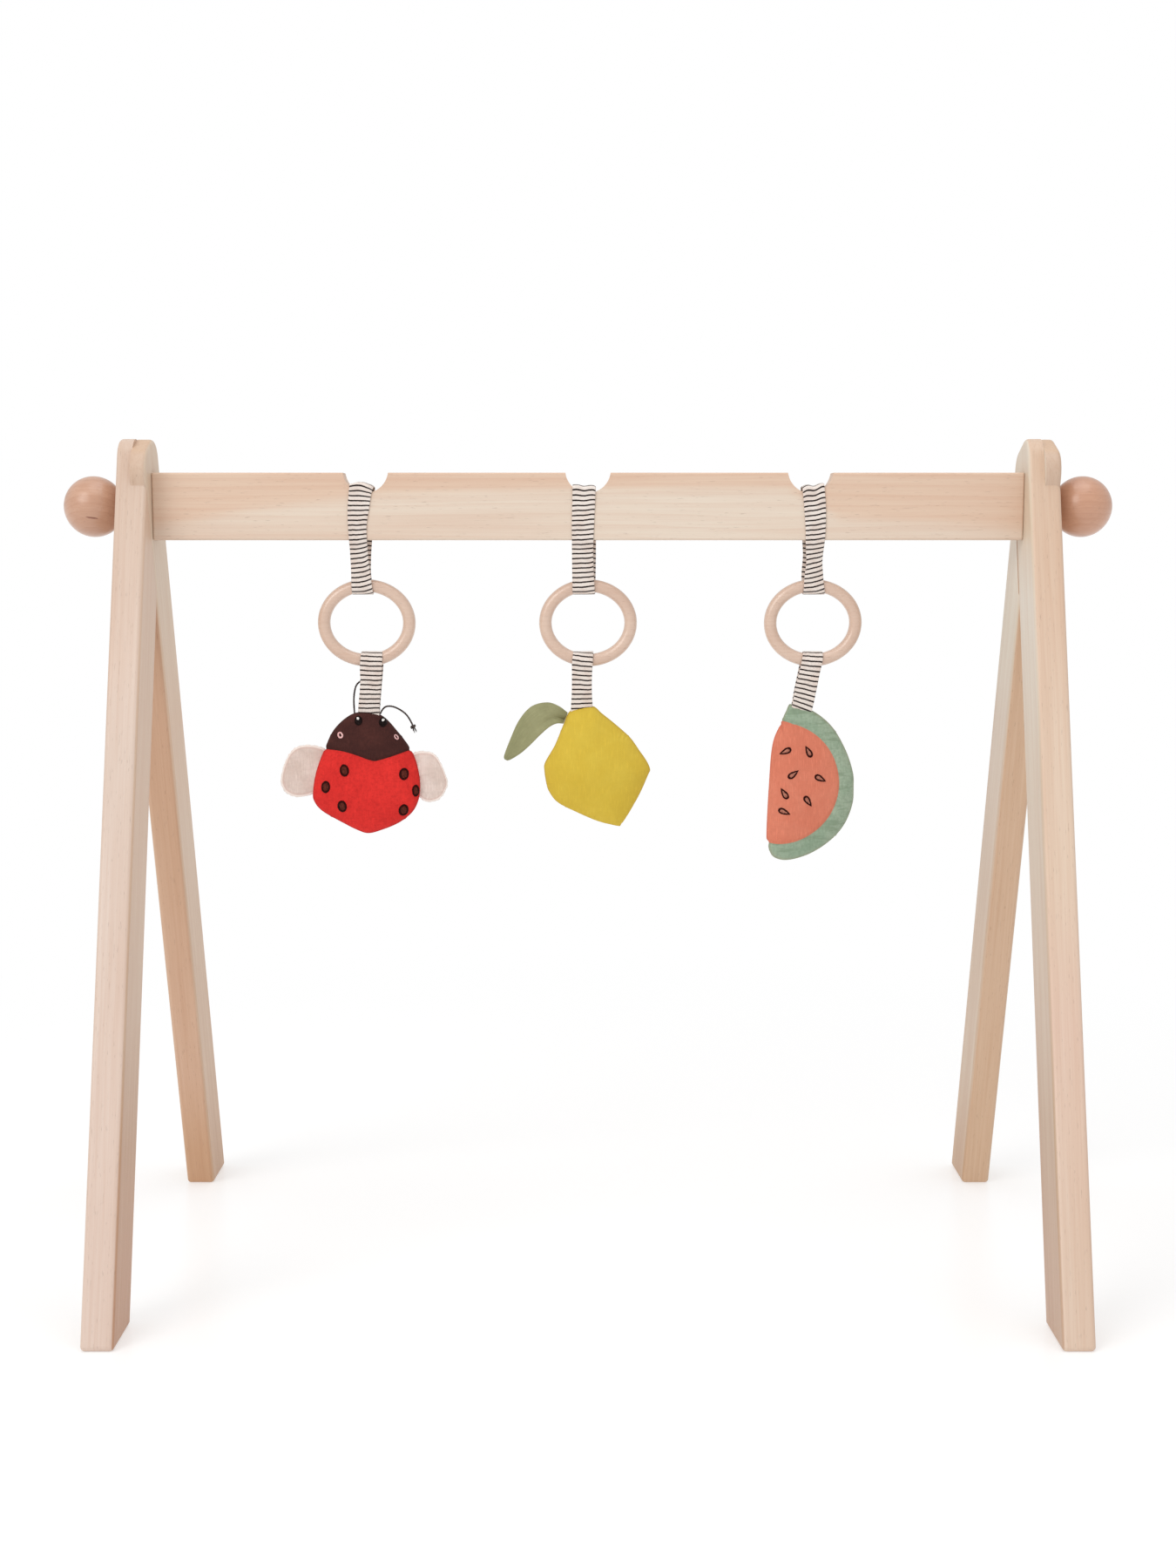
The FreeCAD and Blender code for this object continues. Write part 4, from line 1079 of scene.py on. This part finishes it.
# Each leg's colour for its inner face is a painted reflection of the backdrop, and its two height
# tables are painted shade.
woods = {
    "leg_front_left": wood(
        "leg_front_left_wood", srgb(219, 203, 190), srgb(199, 168, 146), UPRIGHT_LEFT, 1.0,
        figure=0.17, inner=1, painted_inner_reflection=srgb(206, 188, 170), painted_shade=(
            [(0.05, (0.955, 0.885, 0.87)), (0.2, (0.955, 0.9, 0.885)), (0.37, (0.965, 0.955, 0.96)),
             (0.44, (0.94, 0.88, 0.85)), (0.49, (0.9, 0.825, 0.78)), (0.56, (0.89, 0.815, 0.76))],
            [(0.03, (0.73, 0.5, 0.37)), (0.12, (0.74, 0.55, 0.41)), (0.2, (0.87, 0.76, 0.66)),
             (0.37, (0.97, 0.87, 0.78)), (0.5, (1.0, 0.9, 0.84))])),
    "leg_front_right": wood(
        "leg_front_right_wood", srgb(220, 200, 181), srgb(198, 160, 132), UPRIGHT_LEFT, 2.0,
        figure=0.17, inner=-1, painted_inner_reflection=srgb(222, 214, 200), painted_shade=(
            [(0.05, (1.0, 0.98, 0.98)), (0.2, (1.0, 0.93, 0.94)), (0.3, (1.0, 0.98, 0.96)),
             (0.4, (0.97, 0.93, 0.9)), (0.48, (0.92, 0.83, 0.77)), (0.56, (0.9, 0.82, 0.76))],
            [(0.03, (0.73, 0.6, 0.52)), (0.13, (0.72, 0.62, 0.53)), (0.2, (0.8, 0.735, 0.68)),
             (0.37, (0.87, 0.83, 0.78)), (0.48, (0.95, 0.95, 0.95)), (0.53, (0.92, 0.85, 0.77)),
             (0.56, (0.92, 0.85, 0.77)), (0.58, (0.95, 0.94, 0.92))])),
    "leg_rear_left": wood(
        "leg_rear_left_wood", srgb(216, 192, 168), srgb(192, 154, 122), UPRIGHT_RIGHT, 3.0,
        figure=0.17, inner=1, painted_inner_reflection=srgb(212, 195, 177), painted_shade=(
            [(0.03, (0.78, 0.59, 0.46)), (0.1, (0.87, 0.72, 0.66)), (0.22, (0.88, 0.75, 0.69)),
             (0.3, (0.84, 0.7, 0.62)), (0.5, (0.82, 0.67, 0.6)), (0.54, (0.91, 0.89, 0.92))],
            [(0.02, (0.8, 0.65, 0.53)), (0.1, (0.9, 0.82, 0.76)), (0.3, (0.96, 0.92, 0.88)),
             (0.39, (0.98, 0.88, 0.8)), (0.5, (1.0, 0.99, 0.97))])),
    "leg_rear_right": wood(
        "leg_rear_right_wood", srgb(218, 196, 172), srgb(194, 156, 124), UPRIGHT_RIGHT, 4.0,
        figure=0.17, inner=-1, painted_inner_reflection=srgb(222, 214, 200), painted_shade=(
            [(0.03, (0.85, 0.73, 0.64)), (0.2, (0.87, 0.76, 0.69)), (0.5, (0.86, 0.75, 0.67)),
             (0.54, (0.88, 0.85, 0.88))],
            [(0.02, (0.77, 0.63, 0.51)), (0.1, (0.86, 0.82, 0.79)), (0.21, (0.86, 0.785, 0.73)),
             (0.39, (0.84, 0.785, 0.76)), (0.46, (0.91, 0.92, 0.9)), (0.5, (1.0, 1.0, 1.0))])),
    "cross_bar": wood(
        "cross_bar_wood", srgb(222, 207, 190), srgb(206, 171, 148), CROSSWISE, 5.0, figure=0.28,
        ring_pitch=7.0, pith=(8, -30), heart=((0.965, 0.855, 0.79), [
            (-0.3, 0.532), (-0.24, 0.543), (-0.18, 0.549), (-0.14, 0.5535), (-0.08, 0.556),
            (0.14, 0.5565), (0.178, 0.537), (0.3, 0.53)])),
    "ball_knob_left": wood(
        "ball_left_wood", srgb(200, 158, 132), srgb(170, 118, 90), CROSSWISE, 6.0, figure=0.3,
        rough=0.34, crack=(-348.8, -20, 536.4), coat=0.6),
    "ball_knob_right": wood(
        "ball_right_wood", srgb(202, 154, 126), srgb(174, 120, 92), CROSSWISE, 7.0, figure=0.3,
        rough=0.34, coat=0.6),
}
for seed, toy in enumerate(COVE_X, 8):
    woods[f"ring_{toy}"] = wood(f"ring_{toy}_wood", srgb(214, 187, 168), srgb(193, 156, 134),
                                CROSSWISE, seed, figure=0.2, ring_pitch=3.0, rough=0.3, coat=0.9)
hidden = {          # the hidden hardware's finishes, by a word in its nodes' names
    "locating_dowel": wood("dowel_wood_finish", srgb(230, 204, 176), srgb(206, 164, 130),
                           CROSSWISE, 12.0),
    "insert": metal("brass_finish", srgb(196, 160, 92), 0.3),
    "stud": metal("steel_finish", srgb(176, 178, 182), 0.28),
}
for name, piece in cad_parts.items():
    finishes = [woods[name]] if name in woods else [hidden[key] for key in hidden if key in name]
    for place in piece.material_slots if finishes else ():
        place.material = finishes[0]


# ---------- the toys
def place_at(corners, at):
    return [(x + at[0], z + at[1]) for x, z in corners]


for side in ANTENNAE:
    antenna(side, cord_thread)
for toy in COVE_X:
    strap(toy, ribbon)
    tab(toy, ribbon)

LADYBIRD_AT = (-159.0, 404.0)
LADYBIRD_BODY = place_at([
    (-41.2, -62.4), (-38.6, -47.8), (-32.0, -30.8), (-23.6, -15.1), (-8.9, -4.4), (9.3, -5.6),
    (22.3, -18.2), (32.8, -33.3), (37.6, -48.2), (38.3, -61.5), (35.6, -72.2), (30.4, -79.6),
    (21.0, -86.3), (7.8, -91.6), (-0.9, -93.5), (-8.6, -91.2), (-19.6, -85.6), (-34.4, -77.0),
    (-40.4, -69.6)], LADYBIRD_AT)
LADYBIRD_SEAM = place_at([(-46.0, -30.2), (-32.0, -30.8), (-17.0, -32.2), (-6.0, -35.2),
                          (2.5, -38.2), (6.0, -38.9), (9.5, -38.2), (20.0, -35.2), (32.0, -31.4),
                          (46.0, -30.0)], LADYBIRD_AT)
LADYBIRD_CREASES = [(*place_at(ends, LADYBIRD_AT), depth, half) for ends, depth, half in (
    (((3.0, -46.0), (-3.0, -88.0)), 0.45, 2.6), (((-12.0, -38.0), (-20.0, -62.0)), 0.3, 2.2),
    (((17.0, -40.0), (28.0, -66.0)), 0.35, 2.4), (((30.0, -60.0), (12.0, -84.0)), 0.4, 3.0))]
WINGS = {           # outline, centre, seed
    "left": (place_at([(-30.0, -31.5), (-45.6, -27.9), (-57.0, -34.2), (-63.7, -51.9),
                       (-62.0, -61.4), (-54.5, -66.5), (-42.5, -65.3), (-33.0, -58.0),
                       (-30.0, -44.0)], LADYBIRD_AT), (-205.5, 357.0), 3),
    "right": (place_at([(31.0, -35.6), (39.5, -32.3), (49.6, -36.1), (57.6, -54.5),
                        (55.6, -62.7), (51.1, -68.4), (42.3, -70.3), (35.0, -64.5),
                        (31.0, -50.0)], LADYBIRD_AT), (-114.5, 352.0), 5),
}
SPOTS = (           # x, z, narrowing, turn in degrees
    (-15.9, -45.7, 1.0, 6), (-29.9, -58.0, 1.0, -10), (-18.2, -71.9, 1.0, 0),
    (26.6, -48.6, 1.0, -4), (34.5, -61.1, 0.72, 0), (25.7, -75.0, 1.0, -14))
EYES = ((-6.1, -9.6), (11.4, -10.8))
CHEEKS = ((-19.0, -20.8, 1.9, 2.2, 30), (21.0, -22.4, 1.0, 1.9, 35))    # x, z, half sizes, turn


def cover(piece, toy, slot, fill_share, *stands_for):
    finish(piece, f"{toy}_toy", slot, *stands_for)


def sewn_sheet(piece, toy, slot, node_name):
    """The piece is two layers of cloth, half its surface each, sewn into a toy; attaches it to the
    toy and hides the CAD node that it stands for.
    """
    finish(piece, f"{toy}_toy", slot, node_name)


def wing(side):
    corners, centre, seed = WINGS[side]
    piece = refined(pillow(f"wing_{side}", corners, centre, 2.6, WING_CELLS, wing_cloth))
    shift = Vector((seed, seed * 2, 0))

    def change(point, normal, edge, cut):
        bend = 1.5 * noise.noise(point / 24 + shift) + 0.7 * noise.noise(point / 7 + shift)
        bend += 0.35 * noise.noise(Vector((cut[0] / 6, 0, cut[1] / 2.4)) + shift)
        fray = 0.5 * noise.noise(point / 1.7 + shift) * max(0.0, edge - 0.9) * 10
        outward = Vector((cut[0] - centre[0], 0, cut[1] - centre[1])).normalized()
        return Vector((0, bend * 0.8, 0)) + outward * fray
    shape(piece, change)
    sewn_sheet(piece, "ladybird", "wing_fabric", f"ladybird_wing_{side}")


def ladybird():
    pad = stuffed("ladybird_pad", LADYBIRD_BODY, (-160.0, 353.0), 22.0, 15.0, 9.0, red)

    def seam(u, v):
        """Height in mm above the seam between the head and the body."""
        return v - eased(u, LADYBIRD_SEAM)
    rim_and_lumps(pad, 2, seam=seam, creases=LADYBIRD_CREASES)
    body, head = split(pad, seam, ("ladybird_cover_body", "ladybird_cover_head"), (red, brown))
    cover(body, "ladybird", "red_fabric", 0.7, "ladybird_body", "ladybird_filling")
    cover(head, "ladybird", "brown_fabric", 0.7, "ladybird_head")
    find = surface_of(body, head)
    x0, z0 = LADYBIRD_AT
    edges, fills = [], []
    for x, z, narrow, turn in SPOTS:
        edges += satin_border(find, oval_line(x + x0, z + z0, 3.2 * narrow, 4.2, turn), 1.15)
        fills += satin_fill(find, oval_line(x + x0, z + z0, 2.1 * narrow, 3.2, turn), 70)
    embroider("ladybird", "spot_edges", edges, dark_thread, "dark_thread", "ladybird_spots")
    embroider("ladybird", "spot_fills", fills, brown_thread, "brown_thread")
    black, white = [], []
    for x, z in place_at(EYES, LADYBIRD_AT):
        black += satin_fill(find, oval_line(x + 0.2, z - 0.9, 2.9, 3.2), 20, height=0.6)
        white += satin_fill(find, oval_line(x - 0.1, z + 0.3, 0.9, 1.05), 80, height=1.3)
    embroider("ladybird", "eye_balls", black, black_thread, "dark_thread", "ladybird_eyes")
    embroider("ladybird", "eye_glints", white, white_thread, "pink_thread")
    pink, dark = [], []
    for x, z, width, height, turn in CHEEKS:
        x, z = x + x0, z + z0
        pink += satin_border(find, oval_line(x, z, width, height, turn), 0.5 * width)
        dark += satin_fill(find, oval_line(x, z, width * 0.4, 0.4 * height), 45, height=0.2)
    embroider("ladybird", "cheek_rings", pink, pink_thread, "pink_thread", "ladybird_cheeks")
    embroider("ladybird", "cheek_dots", dark, dark_thread, "dark_thread")
    wing("left")
    wing("right")


LEMON_AT = (-5.0, 404.0)
LEMON_BODY = place_at([
    (7.9, 0.6), (-5.9, -1.9), (-10.3, -5.6), (-13.5, -13.8), (-19.8, -28.9), (-26.8, -40.9),
    (-27.4, -46.6), (-25.9, -56.7), (-23.7, -63.0), (-17.4, -70.7), (-4.1, -77.6), (12.3, -84.6),
    (28.2, -88.2), (29.7, -86.6), (35.7, -77.0), (43.3, -63.7), (49.5, -49.7), (50.8, -46.3),
    (48.4, -40.2), (42.5, -31.6), (36.0, -22.6), (26.1, -13.6), (15.4, -5.0)], LEMON_AT)
LEAF_UPPER = place_at([(-9.0, -5.2), (-16.5, 0.4), (-25.0, 2.9), (-36.1, -0.1), (-45.0, -10.2),
                       (-51.3, -24.0), (-55.6, -35.6), (-55.2, -38.8)], LEMON_AT)
LEAF_LOWER = place_at([(-12.5, -13.2), (-17.6, -13.2), (-22.8, -15.8), (-29.3, -21.5),
                       (-36.4, -28.6), (-43.2, -34.4), (-50.0, -38.6), (-53.4, -39.9)], LEMON_AT)


def leaf():
    """Two layers of cloth turned right side out, folded where they are sewn into the lemon."""
    steps, across = 44, 16

    def edge_line(edge):
        table = [(i, *point) for i, point in enumerate(edge)]
        return [np.array(from_table(i / steps * (len(edge) - 1), table)) for i in range(steps + 1)]
    uppers, lowers = edge_line(LEAF_UPPER), edge_line(LEAF_LOWER)

    def place(side, i, k):
        share, t = 2 * k / across - 1, i / steps
        x, z = (uppers[i] + lowers[i]) / 2 + (lowers[i] - uppers[i]) / 2 * share
        swell = (1 - share ** 4) * min(1.0, 8 * t, 8 * (1 - t))
        fold = 3.4 * exp(-abs(share - 0.25 - 0.6 * t) / 0.22) * bell(t, 0.34)
        curl = 3.0 * sin(2.6 * t) - 1.2 * share * t + 1.8 * share * share * (1 - t)
        return (x, side * swell - curl + fold, z), (10 * share, 62 * t)

    sewn_sheet(refined(two_panels("leaf", steps, across, place, leaf_green)), "lemon",
               "leaf_fabric", "lemon_leaf")


def lemon():
    pad = stuffed("lemon_cover_cloth", LEMON_BODY, (6.0, 356.0), 24.0, 17.0, 9.0, yellow)
    rim_and_lumps(pad, 5, lump=0.8)
    cover(pad, "lemon", "yellow_fabric", 0.7, "lemon_cover", "lemon_filling")
    leaf()


MELON_AT = (153.0, 406.0)
MELON_BODY = place_at([
    (-8.0, 0.1), (-4.2, -1.0), (9.4, -5.1), (23.4, -16.4), (33.7, -33.4), (39.4, -49.8),
    (40.2, -60.6), (39.5, -73.9), (33.5, -89.2), (22.9, -101.3), (7.9, -110.9), (-8.6, -115.4),
    (-19.4, -112.2), (-22.7, -102.6), (-24.0, -96.0), (-22.6, -60.6), (-20.4, -30.3),
    (-14.6, -14.4), (-10.2, -4.4)], MELON_AT)
FLESH_CENTRE, FLESH_RADIUS = (137.0, 348.0), 44.3
SEEDS = (           # x, z, turn in degrees
    (-11.3, -34.3, 207), (5.2, -34.3, 118), (-5.5, -50.6, 38), (14.0, -53.7, -27),
    (-11.6, -64.7, 123), (5.4, -70.1, -55), (-11.4, -78.0, -22))


def melon():
    pad = stuffed("melon_pad", MELON_BODY, (159.0, 348.0), 18.0, 13.0, 8.0, coral)

    def seam(u, v):
        return hypot(u - FLESH_CENTRE[0], v - FLESH_CENTRE[1]) - FLESH_RADIUS
    rim_and_lumps(pad, 8, seam=seam, seam_depth=0.9)
    flesh, rind = split(pad, seam, ("melon_cover_flesh", "melon_cover_rind"), (coral, sage))
    cover(flesh, "melon", "coral_fabric", 0.6, "melon_flesh", "melon_filling")
    cover(rind, "melon", "sage_fabric", 0.6, "melon_rind")
    find = surface_of(flesh, rind)
    edges, fills = [], []
    for x, z, turn in SEEDS:
        x, z = x + MELON_AT[0], z + MELON_AT[1]
        edges += satin_border(find, oval_line(x, z, 4.4, 2.7, turn, 1.1), 1.1, height=0.45)
        fills += satin_fill(find, oval_line(x, z, 3.2, 1.4, turn, 1.1), turn, height=0.25)
    embroider("melon", "seed_edges", edges, dark_thread, "dark_thread", "melon_seeds")
    embroider("melon", "seed_fills", fills, seed_thread, "pink_thread")


def floor():
    """White paper that fades into the backdrop away from the object."""
    size = 12.0
    data = bpy.data.meshes.new("floor")
    data.from_pydata([(-size, -size, 0), (size, -size, 0), (size, size, 0), (-size, size, 0)], [],
                     [(0, 1, 2, 3)])
    data.materials.append(fill_nodes(bpy.data.materials.new("floor_paper")))
    away = node("VectorMath", {0: node("TexCoord", out="Object")}, "Value", operation="LENGTH")
    paper = tree.nodes["Principled BSDF"]
    fill(paper, {"Base Color": (0.93, 0.93, 0.93, 1), "Roughness": 0.28,
                 "Specular IOR Level": 0.25, "Emission Color": (1, 1, 1, 1),
                 "Emission Strength": 0.1})
    glow = node("Emission", {"Color": (1, 1, 1, 1), "Strength": 1.0})
    blend = node("MixShader", {0: remap(away, 0.45, 1.3, 0.35), 1: Value(paper.outputs[0]),
                               2: glow})
    fill(tree.nodes["Material Output"], {"Surface": blend})
    put("floor", data)


ladybird()
lemon()
melon()
floor()
